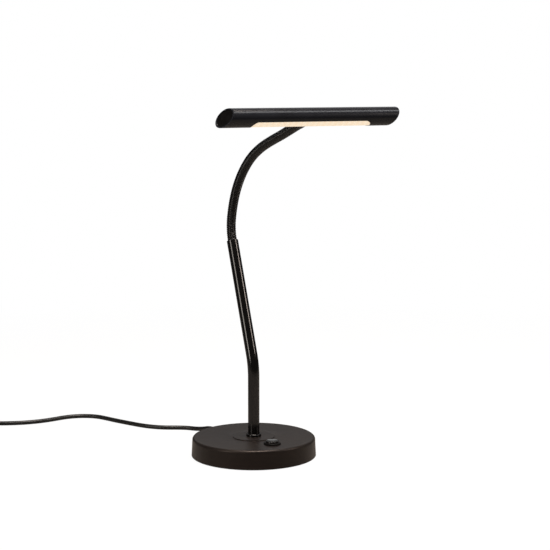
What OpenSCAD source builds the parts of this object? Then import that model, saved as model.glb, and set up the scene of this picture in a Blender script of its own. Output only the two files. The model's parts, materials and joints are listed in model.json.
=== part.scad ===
// Gooseneck desk lamp: a round weighted base, a bent tube, a ribbed flexible neck
// and a slim tubular head with a light window along its underside.
// The lamp stands on z = 0 with the middle of its foot at the origin. The user sits
// on the -Y side. The tube leans back to +Y and the neck arches forward over the base.

/* [Base] */
// Diameter of the base at its foot
base_d = 130; // [118:1:160]
// Height of the base
base_h = 20.5; // [19:0.5:28]
// How much the radius shrinks from foot to top
base_draft = 0.8; // [0.2:0.1:2]
// Radius of the rounded top edge
edge_r = 3; // [2:0.25:4]
// Sheet thickness of the base cover
shell_wall = 1.6; // [1:0.1:2]
// Diameter of the fine groove turned in the top
groove_d = 45; // [38:1:56]
// Width of that groove
groove_w = 0.6; // [0.3:0.1:1]
// Depth of that groove
groove_deep = 0.4; // [0.2:0.1:0.6]
// Thickness of the foam foot pad
pad_t = 1.2; // [0.8:0.1:2]
// How far the pad's edge lies inside the rim
pad_inset = 4; // [2:0.5:8]
// Height of the cover's rim above the table
rim_gap = 0.7; // [0.3:0.1:0.8]
// Thickness of the steel bottom plate
plate_t = 1.5; // [1:0.1:2]
// Radial width of the iron weight
weight_w = 14; // [8:0.5:15]
// Height of the iron weight
weight_h = 12; // [6:0.5:12]
// Half width of the weight's gap for the cord
weight_gap = 14; // [13:0.5:18]

/* [Base screws] */
// Distance of the bottom screws from the foot's edge
boss_at = 10.5; // [9.5:0.5:11.5]
// Outer diameter of the screw bosses
boss_d = 7; // [6:0.5:8]
// Thread diameter of the small screws
screw_d = 2.8; // [2.5:0.1:3]
// Head diameter of the small screws
screw_head = 5.4; // [5:0.1:5.8]
// How deep the bottom screws reach into their bosses
screw_reach = 8; // [5:0.5:10]

/* [Switch] */
// Distance of the switch from the tube's axis
switch_at = 40; // [36:0.5:42]
// Diameter of the switch's flange
switch_flange = 17.6; // [17:0.1:19]
// Height of that flange
flange_t = 2; // [1.5:0.1:2.6]
// Diameter of the switch's body
switch_body_d = 15.8; // [15.4:0.1:16.4]
// Depth of the switch's body below the top
switch_deep = 11.5; // [10:0.5:12.5]
// Diameter of the push button
button_d = 13.2; // [11:0.1:13.6]
// Height of the button's top above the base's top
button_up = 3.8; // [3.6:0.1:6]
// How far the button goes down
button_travel = 1.5; // [1:0.1:1.6]

/* [Tube] */
// Outer diameter of the tube
tube_d = 12; // [11.6:0.1:13]
// Wall of the tube
tube_wall = 1.1; // [0.9:0.1:1.2]
// Height of the bend's corner above the table
bend_z = 95; // [70:1:130]
// Radius of the bend on the tube's axis
bend_r = 70; // [40:5:90]
// Lean of the upper run from upright, in degrees
lean = 20.4; // [10:0.2:25]
// Length from the bend's corner to the tube's mouth
upper_run = 135; // [100:1:160]
// Outer diameter of the ring round the tube's foot
collar_d = 15.8; // [15:0.1:18]
// Height of that ring
collar_h = 3; // [2:0.5:5]
// Length of the tube nut's thread above the base
nipple_up = 20; // [12:1:30]
// Width across flats of the tube nut
nut_flats = 14; // [13:0.5:16]
// Thickness of the tube nut
nut_t = 5; // [3:0.5:6]

/* [Neck] */
// Crest diameter of the ribs
rib_d = 9.9; // [9.6:0.1:10.8]
// Depth of the grooves between the ribs
rib_deep = 0.5; // [0.3:0.05:0.55]
// Distance from rib to rib
rib_pitch = 1.95; // [1.8:0.05:2.2]
// Ribs' spaces in each of the neck's lengths
ribs = 12; // [8:1:14]
// Diameter of the neck's bore
bore_d = 5.4; // [5.2:0.1:5.6]
// Diameter of the ball at each length's upper end
ball_d = 7; // [6.8:0.1:7.1]
// How deep the neck sits in the tube
neck_seat = 12; // [10:1:20]
// Diameter of the lead inside the neck
lead_d = 4; // [3.4:0.1:4.2]

/* [Head] */
// Outer diameter of the head
head_d = 18.2; // [18:0.1:22]
// Wall of the head's tube
head_wall = 1.1; // [0.9:0.1:1.2]
// Length of the head on its axis
head_len = 182; // [170:1:260]
// Slope of the ends from square, in degrees
mitre = 34; // [0:1:40]
// Way the ends slope, in degrees from the head's top to its front
mitre_way = 54; // [0:1:90]
// Length of the light window
window_len = 130; // [100:1:140]
// Width of the light window
window_w = 12.6; // [10:0.1:13]
// Length of the ferrule between neck and head
ferrule_len = 12.4; // [10:0.1:18]
// Outer diameter of that ferrule
ferrule_d = 10.4; // [10.2:0.1:12]
// Distance from light chip to light chip
chip_pitch = 6.2; // [5:0.1:9]

/* [Cord] */
// Diameter of the cord
cord_d = 4.8; // [4:0.1:5.2]
// Height of the cord's exit above the table
exit_z = 8.2; // [8.1:0.1:9]
// Length of the strain relief outside the base
relief_len = 22.5; // [20:0.5:24]
// Diameter of the strain relief at the base
relief_d = 9; // [8:0.1:10]
// Inner radius of the coil, on the cord's axis
coil_r = 21.4; // [20:0.1:22.5]
// Turns in each layer of the coil
layer_turns = 2; // [2:1:2]
// Layers in the coil
layers = 4; // [2:2:4]
// Gap between neighbouring turns
turn_gap = 0.5; // [0.5:0.05:0.8]
// Thickness of the cord tie
tie_t = 0.9; // [0.6:0.1:1.2]
// Width of the cord tie
tie_w = 6; // [4:0.5:8]

/* [Hidden] */
$fn = 72;

// Clearances: fit_gap between pieces that are pushed together, thread_gap between a
// thread and its hole, run_gap between a pin and its bearing, seat_gap under a piece
// that lies on a round wall, loose_gap elsewhere
fit_gap = 0.1;
thread_gap = 0.1;
run_gap = 0.05;
seat_gap = 0.02;
loose_gap = 0.4;
// Overshoot of a cutting shape
cut = 1;

// Colours
black = [0.09, 0.09, 0.09];
brown_black = [0.22, 0.19, 0.17];
iron = [0.35, 0.35, 0.36];
steel = [0.7, 0.7, 0.72];
brass = [0.78, 0.65, 0.35];
white = [0.92, 0.92, 0.9];
cream = [1, 0.93, 0.8];
board_green = [0.1, 0.35, 0.2];

// Base heights and radii
plate_z = pad_t;
floor_z = plate_z + plate_t;
ceiling_z = base_h - shell_wall;
top_r = base_d / 2 - base_draft;
inner_r = top_r - shell_wall;
inner_edge = edge_r - shell_wall + 0.4;
plate_r = inner_r - loose_gap;
weight_r = inner_r - 2 * loose_gap;
// Distance of the bottom screws from the middle
boss_r = base_d / 2 - boss_at;
boss_turns = [0, 120, 240];

// Tube path: straight up, round the bend, then straight at the lean
bend_start = bend_r * tan(lean / 2);
tube_bore = tube_d - 2 * tube_wall;
nipple_d = tube_bore - 2 * fit_gap;
nipple_bore = nipple_d - 2.6;
mouth = [upper_run * sin(lean), bend_z + upper_run * cos(lean)];

// Neck: nine lengths, each with a steady bend. The bends are in degrees, towards
// the front, and follow the arch from the tube's mouth to the head
neck_bends = [31.2, 13, 14.5, 12, 12.6, 8, 2.5, -2.3, 0.1];
neck_parts = len(neck_bends);
part_len = ribs * rib_pitch;
neck_len = neck_parts * part_len;
neck_sides = 8;
// An eight-sided ring's flats lie this share of its radius from the axis. Its
// crests stand as far out as a round neck's do on average
flat_share = cos(180 / neck_sides);
crest_r = rib_d / (1 + flat_share);
valley_r = crest_r - rib_deep;
bore_r = bore_d / 2;
ball_r = ball_d / 2;
seat_r = tube_bore / 2 - fit_gap;

// Angle from upright towards the front, s along the neck from the tube's mouth
function bend_sum(i) = i <= 0 ? 0 : neck_bends[i - 1] + bend_sum(i - 1);
function part_at(s) = max(0, min(neck_parts - 1, floor(s / part_len)));
function neck_turn(s) =
    s <= 0 ? -lean :
    s >= neck_len ? -lean + bend_sum(neck_parts) :
    let (i = part_at(s)) -lean + bend_sum(i) + neck_bends[i] * (s / part_len - i);
function along(a) = [-sin(a), cos(a)];
// Place after an arc of length l that turns from angle a to angle b
function arc_step(l, a, b) =
    abs(b - a) < 0.01 ? l * along(a) :
    let (r = l * 180 / (PI * (b - a))) r * [cos(b) - cos(a), sin(b) - sin(a)];
function part_start(i) =
    i <= 0 ? mouth :
    part_start(i - 1) + arc_step(part_len, neck_turn((i - 1) * part_len),
        neck_turn((i - 1) * part_len) + neck_bends[i - 1]);
function neck_at(s) =
    s <= 0 ? mouth + s * along(-lean) :
    s >= neck_len ? part_start(neck_parts) + (s - neck_len) * along(neck_turn(s)) :
    let (i = part_at(s), a = -lean + bend_sum(i))
        part_start(i) + arc_step(s - i * part_len, a, neck_turn(s));

// Head: its middle lies past the ferrule, on the line of the neck's end
head_turn = neck_turn(neck_len);
head_rise = 90 - head_turn;
head_mid = neck_at(neck_len + ferrule_len + head_d / 2);
head_r = head_d / 2;
head_in = head_r - head_wall;
spigot_bore = 3.4;
spigot_d = spigot_bore + 2.6;

// Cord: route points chosen by hand, from the strain relief to the coil
cord_sides = 10;
lie_z = cord_d / 2;
cord_route = [
    [0, 87, 8.2], [0, 97, 8.2], [-0.4, 107, 6.8], [-2, 117.5, 4.3], [-5.5, 128, 2.6],
    [-12, 137, 2.4], [-22, 144, 2.4], [-33, 150.5, 2.4], [-43, 160, 2.4],
    [-51, 172, 2.4], [-57, 185, 2.4], [-63, 199, 2.4], [-68.5, 213, 2.4],
    [-73, 226, 2.4], [-78.5, 238, 2.4], [-88, 247.5, 2.4], [-100, 252.5, 2.4],
    [-113, 253, 2.4], [-126, 250.5, 2.4], [-139, 248.5, 2.4], [-152, 248.5, 2.4],
    [-165, 250.5, 2.4], [-177, 254.5, 2.4], [-188.5, 260, 2.4], [-199, 266.2, 2.9],
    [-209.6, 272.55, 3.7], [-220, 275.83, 3.7]
];
// Middle of the coil, and where its first turn starts, in degrees
coil_mid = [-234.3, 247.2];
coil_from = 63.5;
coil_steps = 24;
coil_sides = 6;
turn_pitch = cord_d + turn_gap;
coil_z = lie_z + tie_t + loose_gap;
coil_turns = layers * layer_turns + 0.25;
coil_out = coil_r + layer_turns * turn_pitch;
// Route points from the coil down to the plug
end_route = [
    [-264.15, 262.03, 19.6], [-269.4, 254.65, 19.6], [-272.9, 245.7, 18.6],
    [-274.7, 236, 16.4], [-275.5, 226, 13.6], [-275.8, 216, 10.7],
    [-275.2, 206, 8.2], [-273.83, 196.01, 6.9], [-272, 187, 6.9]
];
plug_turn = -78.5;
plug_from = [-272, 187, 6.9];

// ---- shared shapes -------------------------------------------------------------

// Triangles of a closed band of rings: joins ring k to ring k + 1
function band_faces(rings, sides, closed) = [
    for (k = [0 : rings - (closed ? 1 : 2)], j = [0 : sides - 1])
        let (a = k * sides + j, b = k * sides + (j + 1) % sides,
             c = ((k + 1) % rings) * sides + j,
             d = ((k + 1) % rings) * sides + (j + 1) % sides)
            each [[a, c, b], [b, c, d]]
];
function end_faces(rings, sides) = [
    for (j = [1 : sides - 2]) each [
        [0, j, j + 1],
        [(rings - 1) * sides, (rings - 1) * sides + j + 1, (rings - 1) * sides + j]
    ]
];

function unit(v) = v / norm(v);
// Direction of a route at point k
function heading(p, k) =
    unit(p[min(k + 1, len(p) - 1)] - p[max(k - 1, 0)]);
// Ring of points round a route that never runs upright
function route_ring(p, k, r, sides) =
    let (t = heading(p, k), side = unit(cross(t, [0, 0, 1])), up = cross(side, t))
        [for (j = [0 : sides - 1])
            let (a = 360 * (j + 0.5) / sides) p[k] + r * (cos(a) * side + sin(a) * up)];

// Round tube swept along a route
module swept(p, d, sides) {
    polyhedron(
        points = [for (k = [0 : len(p) - 1]) each route_ring(p, k, d / 2, sides)],
        faces = concat(band_faces(len(p), sides, false), end_faces(len(p), sides)));
}

// Ring of points round the neck at s
function neck_ring(s, r) =
    let (a = neck_turn(s), q = neck_at(s))
        [for (j = [0 : neck_sides - 1])
            let (w = 360 * (j + 0.5) / neck_sides)
                [r * cos(w), q[0] + r * sin(w) * cos(a), q[1] + r * sin(w) * sin(a)]];

// Rod along the tube's path, from height z0 up to a distance past the bend's corner.
// A seam line, far thinner than the paint, marks each end of the bend
module tube_rod(d, z0, run) {
    seam = 0.01;
    seam_w = 0.4;
    translate([0, 0, z0]) cylinder(d = d, h = bend_z - bend_start - z0);
    translate([0, 0, bend_z - bend_start - seam_w / 2])
        cylinder(d = d + seam, h = seam_w);
    translate([0, bend_r, bend_z - bend_start]) rotate([90, 0, -90])
        rotate_extrude(angle = lean) translate([bend_r, 0]) circle(d = d);
    on_run(bend_start - seam_w / 2) cylinder(d = d + seam, h = seam_w);
    on_run(bend_start) cylinder(d = d, h = run - bend_start);
}

// Places a shape at a distance past the bend's corner, along the leaning run
module on_run(at) {
    translate([0, 0, bend_z]) rotate([-lean, 0, 0]) translate([0, 0, at]) children();
}

// Outline with straight sides and round ends, long in x
module slot(length, width) {
    square([length - width, width], center = true);
    for (s = [-1, 1]) translate([s * (length - width) / 2, 0]) circle(d = width);
}

module hex(flats) {
    circle(d = flats / cos(30), $fn = 6);
}

// ---- base ----------------------------------------------------------------------

module base_outline() {
    polygon([
        [0, rim_gap], [base_d / 2, rim_gap], [top_r, base_h - edge_r],
        [top_r - edge_r, base_h], [0, base_h]
    ]);
    translate([top_r - edge_r, base_h - edge_r]) circle(r = edge_r);
}

module base_hollow() {
    polygon([
        [0, rim_gap - cut], [inner_r, rim_gap - cut],
        [inner_r, ceiling_z - inner_edge], [inner_r - inner_edge, ceiling_z],
        [0, ceiling_z]
    ]);
    translate([inner_r - inner_edge, ceiling_z - inner_edge]) circle(r = inner_edge);
}

module base_shell() {
    color(brown_black) difference() {
        union() {
            difference() {
                rotate_extrude() base_outline();
                rotate_extrude() base_hollow();
            }
            for (a = boss_turns) rotate(a) translate([boss_r, 0, floor_z])
                cylinder(d = boss_d, h = ceiling_z - floor_z + shell_wall / 2);
        }
        for (a = boss_turns) rotate(a) translate([boss_r, 0, floor_z - cut])
            cylinder(d = screw_d + 2 * thread_gap, h = screw_reach + 2 * cut);
        rotate_extrude() translate([(groove_d - groove_w) / 2, base_h - groove_deep])
            square([groove_w, groove_deep + cut]);
        translate([0, 0, ceiling_z - cut])
            cylinder(d = nipple_d + 2 * loose_gap, h = shell_wall + 2 * cut);
        translate([0, -switch_at, ceiling_z - cut])
            cylinder(d = switch_body_d + 2 * fit_gap, h = shell_wall + 2 * cut);
        translate([0, inner_r - 2 * cut, exit_z]) rotate([-90, 0, 0])
            cylinder(d = relief_d - 1 + 2 * fit_gap, h = shell_wall + base_draft + 4 * cut);
    }
}

module base_weight() {
    color(iron) difference() {
        translate([0, 0, floor_z]) cylinder(r = weight_r, h = weight_h);
        translate([0, 0, floor_z - cut])
            cylinder(r = weight_r - weight_w, h = weight_h + 2 * cut);
        translate([-weight_gap, 0, floor_z - cut])
            cube([2 * weight_gap, base_d, weight_h + 2 * cut]);
        for (a = boss_turns) rotate(a) translate([boss_r, 0, floor_z - cut])
            cylinder(d = boss_d + 2 * loose_gap, h = weight_h + 2 * cut);
        translate([0, -switch_at, floor_z - cut])
            cylinder(d = switch_body_d + 3, h = weight_h + 2 * cut);
        // in a small base the ring leaves room for the driver and the terminal block
        translate([driver_x - loose_gap, -driver_l / 2 - loose_gap, floor_z - cut])
            cube([driver_w, driver_l, weight_h + 2 * cut] + [2, 2, 0] * loose_gap);
        translate([block_x - loose_gap, block_y - loose_gap, floor_z - cut])
            cube([block_w, block_l, weight_h + 2 * cut] + [2, 2, 0] * loose_gap);
    }
}

module base_plate() {
    color(steel) difference() {
        translate([0, 0, plate_z]) cylinder(r = plate_r, h = plate_t);
        for (a = boss_turns) rotate(a) translate([boss_r, 0, plate_z]) {
            translate([0, 0, -cut])
                cylinder(d = screw_d + 2 * loose_gap, h = plate_t + 2 * cut);
            translate([0, 0, -0.01]) cylinder(
                d1 = screw_head + 2 * thread_gap, d2 = screw_d + 2 * thread_gap,
                h = (screw_head - screw_d) / 2);
        }
        for (s = [-1, 1]) translate([s * clamp_screw_x, clamp_y, plate_z - cut])
            cylinder(d = screw_d + 2 * thread_gap, h = plate_t + 2 * cut);
    }
}

module foot_pad() {
    color(black) cylinder(r = base_d / 2 - pad_inset, h = pad_t);
}

// Countersunk screw, head down at z = 0
module flat_screw(length) {
    cylinder(d1 = screw_head, d2 = screw_d, h = (screw_head - screw_d) / 2);
    cylinder(d = screw_d, h = length);
}

module base_screws() {
    color(steel) for (a = boss_turns) rotate(a) translate([boss_r, 0, plate_z])
        difference() {
            flat_screw(plate_t + screw_reach);
            for (t = [0, 90]) rotate(t) translate([0, 0, 0.4])
                cube([3, 0.6, 0.8 + cut / 4], center = true);
        }
}

// ---- tube ----------------------------------------------------------------------

module tube_collar() {
    color(black) translate([0, 0, base_h]) rotate_extrude() difference() {
        union() {
            translate([0, 0]) square([collar_d / 2, collar_h - 1]);
            square([collar_d / 2 - 1, collar_h]);
            translate([collar_d / 2 - 1, collar_h - 1]) circle(r = 1);
        }
        translate([-1, -1]) square([tube_d / 2 + fit_gap / 2 + 1, collar_h + 2]);
    }
}

module stem_tube() {
    color(black) difference() {
        tube_rod(tube_d, base_h, upper_run);
        tube_rod(tube_bore, base_h - cut, upper_run + cut);
    }
}

module tube_nipple() {
    color(steel) translate([0, 0, ceiling_z - washer_t - nut_t - 2]) difference() {
        cylinder(d = nipple_d, h = shell_wall + washer_t + nut_t + 2 + nipple_up);
        translate([0, 0, -cut])
            cylinder(d = nipple_bore, h = base_h + nipple_up + 2 * cut);
    }
}

washer_t = 1.4;
washer_d = 24;

module tube_washer() {
    color(steel) translate([0, 0, ceiling_z - washer_t]) difference() {
        cylinder(d = washer_d, h = washer_t);
        translate([0, 0, -cut])
            cylinder(d = nipple_d + 2 * loose_gap, h = washer_t + 2 * cut);
    }
}

module tube_nut() {
    color(steel) translate([0, 0, ceiling_z - washer_t - nut_t]) difference() {
        linear_extrude(nut_t) hex(nut_flats);
        translate([0, 0, -cut])
            cylinder(d = nipple_d + 2 * thread_gap, h = nut_t + 2 * cut);
    }
}

// ---- switch --------------------------------------------------------------------

switch_floor = 1.2;
button_skirt = 4;
button_edge = 0.8;
dish_r = 40;
dish_edge = 1.6;

module at_switch(dz) {
    translate([0, -switch_at, base_h + dz]) children();
}

module switch_body() {
    bevel = 1;
    color(black) difference() {
        union() {
            at_switch(0) cylinder(d = switch_flange, h = flange_t - bevel);
            at_switch(flange_t - bevel)
                cylinder(d1 = switch_flange, d2 = switch_flange - 2 * bevel, h = bevel);
            at_switch(-switch_deep) cylinder(d = switch_body_d, h = switch_deep + 0.2);
        }
        at_switch(-switch_deep + switch_floor)
            cylinder(d = button_d + 2 * run_gap, h = switch_deep + flange_t + cut);
        for (s = [-1, 1]) at_switch(-switch_deep) translate([s * contact_x, 0, 0])
            cube([contact_t + 2 * fit_gap, contact_w + 2 * fit_gap, 4 * switch_floor],
                center = true);
    }
}

contact_x = 3.5;
contact_w = 4.8;
contact_t = 0.8;
contact_down = 4;
contact_up = 2;

module switch_contacts() {
    color(brass) for (s = [-1, 1]) at_switch(-switch_deep - contact_down)
        translate([s * contact_x - contact_t / 2, -contact_w / 2, 0])
            cube([contact_t, contact_w, contact_down + switch_floor + contact_up]);
}

module switch_button() {
    r = button_d / 2;
    dish_open = r - dish_edge;
    color(black) at_switch(0) difference() {
        rotate_extrude() {
            polygon([
                [0, -button_skirt], [r, -button_skirt], [r, button_up - button_edge],
                [r - button_edge, button_up], [0, button_up]
            ]);
            translate([r - button_edge, button_up - button_edge]) circle(r = button_edge);
        }
        translate([0, 0, button_up + sqrt(pow(dish_r, 2) - pow(dish_open, 2))])
            sphere(r = dish_r, $fn = 180);
        translate([0, 0, -button_skirt - cut])
            cylinder(d = button_d - 3, h = button_skirt);
    }
}

// ---- driver and wiring in the base ----------------------------------------------

driver_x = 13.5;
driver_w = 30;
driver_l = 35;
driver_h = 11;
driver_wall = 1.2;
board_t = 1.6;
board_up = 2.2;

module driver_case() {
    color(white) translate([driver_x, -driver_l / 2, floor_z]) difference() {
        cube([driver_w, driver_l, driver_h]);
        translate([driver_wall, driver_wall, driver_wall])
            cube([driver_w - 2 * driver_wall, driver_l - 2 * driver_wall, driver_h]);
    }
    color(white) for (i = [0, 1], j = [0, 1])
        translate([
            driver_x + driver_wall + i * (driver_w - 2 * driver_wall - 3),
            -driver_l / 2 + driver_wall + j * (driver_l - 2 * driver_wall - 3),
            floor_z + driver_wall])
            cube([3, 3, board_up]);
}

board_z = floor_z + driver_wall + board_up;
board_w = driver_w - 2 * driver_wall - 2 * loose_gap;
board_l = driver_l - 2 * driver_wall - 2 * loose_gap;
driver_mid = driver_x + driver_w / 2;

module driver_board() {
    color(board_green) translate([driver_mid - board_w / 2, -board_l / 2, board_z])
        cube([board_w, board_l, board_t]);
}

module driver_parts() {
    top = board_z + board_t;
    // transformer, input capacitor, output capacitor, bridge and chip
    color(brass) translate([driver_mid - 6, -6, top]) cube([12, 12, 6]);
    color(iron) translate([driver_mid - 8, 11, top + 3]) rotate([0, 90, 0])
        cylinder(d = 6, h = 12);
    color(iron) translate([driver_mid + 8.5, -10, top]) cylinder(d = 5, h = 5.5);
    color(black) translate([driver_mid - 11, -13, top]) cube([7, 5, 2.5]);
    color(black) translate([driver_mid, -14, top]) cube([4, 5, 1.6]);
}

block_x = -36;
block_y = 15;
block_w = 22;
block_l = 12;
block_h = 9;
block_ways = 3;

module each_way() {
    for (k = [0 : block_ways - 1])
        translate([block_x + block_w * (k + 0.5) / block_ways, block_y + block_l / 2, 0])
            children();
}

module terminal_block() {
    color(white) difference() {
        translate([block_x, block_y, floor_z]) cube([block_w, block_l, block_h]);
        each_way() translate([0, 0, floor_z + block_h - 5])
            cylinder(d = 4.4, h = 5 + cut);
    }
}

module terminal_screws() {
    color(steel) each_way() translate([0, 0, floor_z + block_h - 5]) difference() {
        cylinder(d = 4.2, h = 4);
        translate([-2.5, -0.4, 3]) cube([5, 0.8, 1 + cut]);
    }
}

module base_wires() {
    wire_d = 1.8;
    wire_sides = 6;
    color(black) {
        // terminal block to switch, switch to driver, block to driver, driver to tube
        swept([[-20, 14.9, 7], [-20, 13.2, 7], [-20, 8, 6.4], [-20, 0, 5],
            [-18, -12, 4.2], [-13, -24, 4], [-8.5, -32, 4.4], [-5.4, -37, 6],
            [-5, -40, 6.5]], wire_d, wire_sides);
        swept([[5, -40, 6.5], [5.6, -36.5, 6], [8.5, -31, 5], [14, -26, 4.6],
            [20.5, -22.8, 5], [25, -21, 6], [27, -19.2, 6.4], [27, -17.6, 6.4]],
            wire_d, wire_sides);
        swept([[-16, 14.9, 6.5], [-16, 13.2, 6.5], [-14.2, 10.8, 6], [-9, 9, 5],
            [-1, 10, 4.6], [7, 11.5, 5.2], [11.6, 12, 6], [13.4, 12, 6]],
            wire_d, wire_sides);
        swept([[13.4, -4, 8], [11.8, -4, 8], [9.4, -4, 7.2], [6.5, -3.5, 5.8],
            [3, -2, 5], [0.8, -0.6, 5.4], [0.05, -0.05, 6.7], [0, 0, 7.85]],
            wire_d, wire_sides);
    }
}

// ---- cord ----------------------------------------------------------------------

clamp_w = 24;
clamp_l = 8;
clamp_in = 12.5;
clamp_y = base_d / 2 - clamp_in;
clamp_h = 10.4;
clamp_screw_x = 8;
pan_t = 2;

module cord_clamp() {
    color(black) difference() {
        translate([-clamp_w / 2, clamp_y - clamp_l / 2, floor_z])
            cube([clamp_w, clamp_l, clamp_h]);
        translate([0, clamp_y, exit_z]) rotate([90, 0, 0])
            cylinder(d = cord_d + 2 * run_gap, h = 2 * clamp_l, center = true);
        for (s = [-1, 1]) translate([s * clamp_screw_x, clamp_y, floor_z - cut])
            cylinder(d = screw_d + 2 * thread_gap, h = clamp_h + 2 * cut);
    }
}

module clamp_screws() {
    color(steel) for (s = [-1, 1]) translate([s * clamp_screw_x, clamp_y, 0])
        difference() {
            union() {
                translate([0, 0, floor_z + clamp_h]) cylinder(d = screw_head, h = pan_t);
                translate([0, 0, plate_z + 0.1])
                    cylinder(d = screw_d, h = floor_z + clamp_h - plate_z);
            }
            for (t = [0, 90]) translate([0, 0, floor_z + clamp_h + pan_t]) rotate(t)
                cube([3, 0.6, 1.6], center = true);
        }
}

// The strain relief's outer end, where the cord's free run starts
relief_end = base_d / 2 - 0.5 + relief_len;
relief_tip = cord_d + 1.6;

module strain_relief() {
    flange_in = 1.6;
    color(black) translate([0, relief_end, exit_z]) rotate([90, 0, 0]) difference() {
        union() {
            cylinder(d1 = relief_tip, d2 = relief_d, h = relief_len - base_draft);
            cylinder(d = relief_d - 1, h = relief_end - inner_r + flange_in);
            translate([0, 0, relief_end - inner_r + 0.3])
                cylinder(d = relief_d + 1.6, h = flange_in);
        }
        translate([0, 0, -cut]) cylinder(d = cord_d + 2 * run_gap, h = base_d);
        for (k = [1 : 4]) translate([0, 0, 3.4 * k]) rotate_extrude()
            translate([cord_d / 2 + 0.9 + 0.18 * k, 0]) square([4, 1.2]);
    }
}

module cord_inside() {
    color(black) swept([[0, relief_end, exit_z], [0, 66, exit_z], [0, 46, exit_z],
        [0, 39, 8], [-1.5, 32, 7.7], [-5, 26, 7.5], [-9, 22.5, 7.5], [-11.5, 21.5, 7.5],
        [-13.95, 21.5, 7.5]], cord_d, cord_sides);
}

module cord() {
    color(black) swept(cord_route, cord_d, cord_sides);
}

// Radius of the coil after t turns: in and out again at a steady rate
function coil_radius(t) =
    let (u = t / layer_turns, k = min(floor(u), layers - 1), f = u - k)
        k % 2 == 0 ? coil_out - f * layer_turns * turn_pitch
                   : coil_r + f * layer_turns * turn_pitch;
// Height after t turns: level, and up one layer in the half turn at each reversal
function climb(x) = x <= 0 ? 0 : x >= 1 ? 1 : x * x * (3 - 2 * x);
function coil_height(t, k = 1) =
    k >= layers ? 0 :
    turn_pitch * climb((t - k * layer_turns) * 2 + 0.5) + coil_height(t, k + 1);
function coil_point(t) =
    let (a = coil_from + 360 * t, r = coil_radius(t))
        [coil_mid[0] + r * cos(a), coil_mid[1] + r * sin(a), coil_z + coil_height(t)];
coil_route = [for (k = [0 : coil_turns * coil_steps]) coil_point(k / coil_steps)];

module cord_coil() {
    color(black) swept(coil_route, cord_d, coil_sides);
}

module cord_end() {
    color(black) swept(end_route, cord_d, cord_sides);
}

module cord_tie() {
    // half a turn from where the layers reverse, the coil is half a pitch narrower
    inside = coil_r + turn_pitch / 2 - lie_z - loose_gap;
    outside = coil_out - turn_pitch / 2 + lie_z + loose_gap;
    height = (layers - 1) * turn_pitch + cord_d + 2 * loose_gap;
    color(black) translate([coil_mid[0], coil_mid[1], 0]) rotate(coil_from + 180)
        difference() {
            translate([inside - tie_t, -tie_w / 2, 0])
                cube([outside - inside + 2 * tie_t, tie_w, height + 2 * tie_t]);
            translate([inside, -tie_w, tie_t])
                cube([outside - inside, 2 * tie_w, height]);
        }
}

plug_t = 13.8;
plug_w = 35;
plug_round = 5.5;
plug_l = 34;
pin_l = 19;
pin_d = 4;
pin_pitch = 18.6;

module at_plug() {
    translate(plug_from) rotate(plug_turn) children();
}

module plug_body() {
    color(black) at_plug() intersection() {
        translate([0, 0, -plug_t / 2]) linear_extrude(plug_t) polygon([
            [0, -4.5], [8, -5.5], [20, -plug_w / 2], [28, -plug_w / 2], [plug_l, -13.5],
            [plug_l, 13.5], [28, plug_w / 2], [20, plug_w / 2], [8, 5.5], [0, 4.5]
        ]);
        // the top and the underside fall away towards the cord
        rotate([90, 0, 0]) linear_extrude(plug_w, center = true) polygon([
            [0, -4.2], [8, -4.6], [19, -plug_t / 2], [plug_l, -plug_t / 2],
            [plug_l, plug_t / 2], [19, plug_t / 2], [8, 4.6], [0, 4.2]
        ]);
        // seen from its pins, it is a flat oval
        rotate([90, 0, 90]) linear_extrude(plug_l) hull() for (y = [-1, 1], z = [-1, 1])
            translate([y * (plug_w / 2 - plug_round), z * (plug_t / 2 - plug_round)])
                circle(plug_round, $fn = 32);
    }
}

module plug_pins() {
    color(steel) for (s = [-1, 1]) at_plug() translate([plug_l, s * pin_pitch / 2, 0])
        rotate([0, 90, 0]) {
            cylinder(d = pin_d, h = pin_l - 1);
            translate([0, 0, pin_l - 1]) cylinder(d1 = pin_d, d2 = pin_d - 1.4, h = 1);
        }
}

// ---- neck ----------------------------------------------------------------------

// One length of the neck, from its start to the groove before the next. Its upper
// end is a ball that the next length's socket turns on
groove = rib_pitch / 2;
socket_gap = 0.25;

function rib_rings(i) =
    let (from = i * part_len + groove, n = 2 * (ribs - 1))
        [for (k = [0 : n]) [from + k * rib_pitch / 2, k % 2 == 0 ? valley_r : crest_r]];
function ball_rings(i) =
    let (j = (i + 1) * part_len) [
        [j - groove, sqrt(pow(ball_r, 2) - pow(groove, 2))],
        [j, ball_r],
        [j + 0.4 * ball_r, ball_r * sqrt(1 - 0.16)],
        [j + sqrt(pow(ball_r, 2) - pow(bore_r, 2)), bore_r]
    ];
function bore_rings(from, to, n) =
    [for (k = [0 : n]) [from + (to - from) * k / n, bore_r]];
function socket_rings(i) =
    let (j = i * part_len, r = (ball_r + socket_gap) / flat_share) [
        [j + ball_r - 0.2, bore_r],
        [j + 0.56 * ball_r, r * sqrt(1 - 0.25)],
        [j + groove, r * sqrt(1 - pow(groove / (ball_r + socket_gap), 2)) + 0.04]
    ];

module neck_solid(rings) {
    polyhedron(
        points = [for (q = rings) each neck_ring(q[0], q[1])],
        faces = band_faces(len(rings), neck_sides, true));
}

module gooseneck(i) {
    last = i == neck_parts - 1;
    foot = i * part_len;
    head = (i + 1) * part_len;
    color(black) neck_solid(concat(
        i == 0 ? [[-neck_seat, seat_r], [0.2, seat_r]] : [],
        rib_rings(i),
        last ? [[head, valley_r], [head, bore_r]] : ball_rings(i),
        bore_rings(head - 1, i == 0 ? 0 : foot + ball_r + 2, 4),
        i == 0 ? [[-neck_seat, bore_r]] : socket_rings(i)));
}

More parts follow.
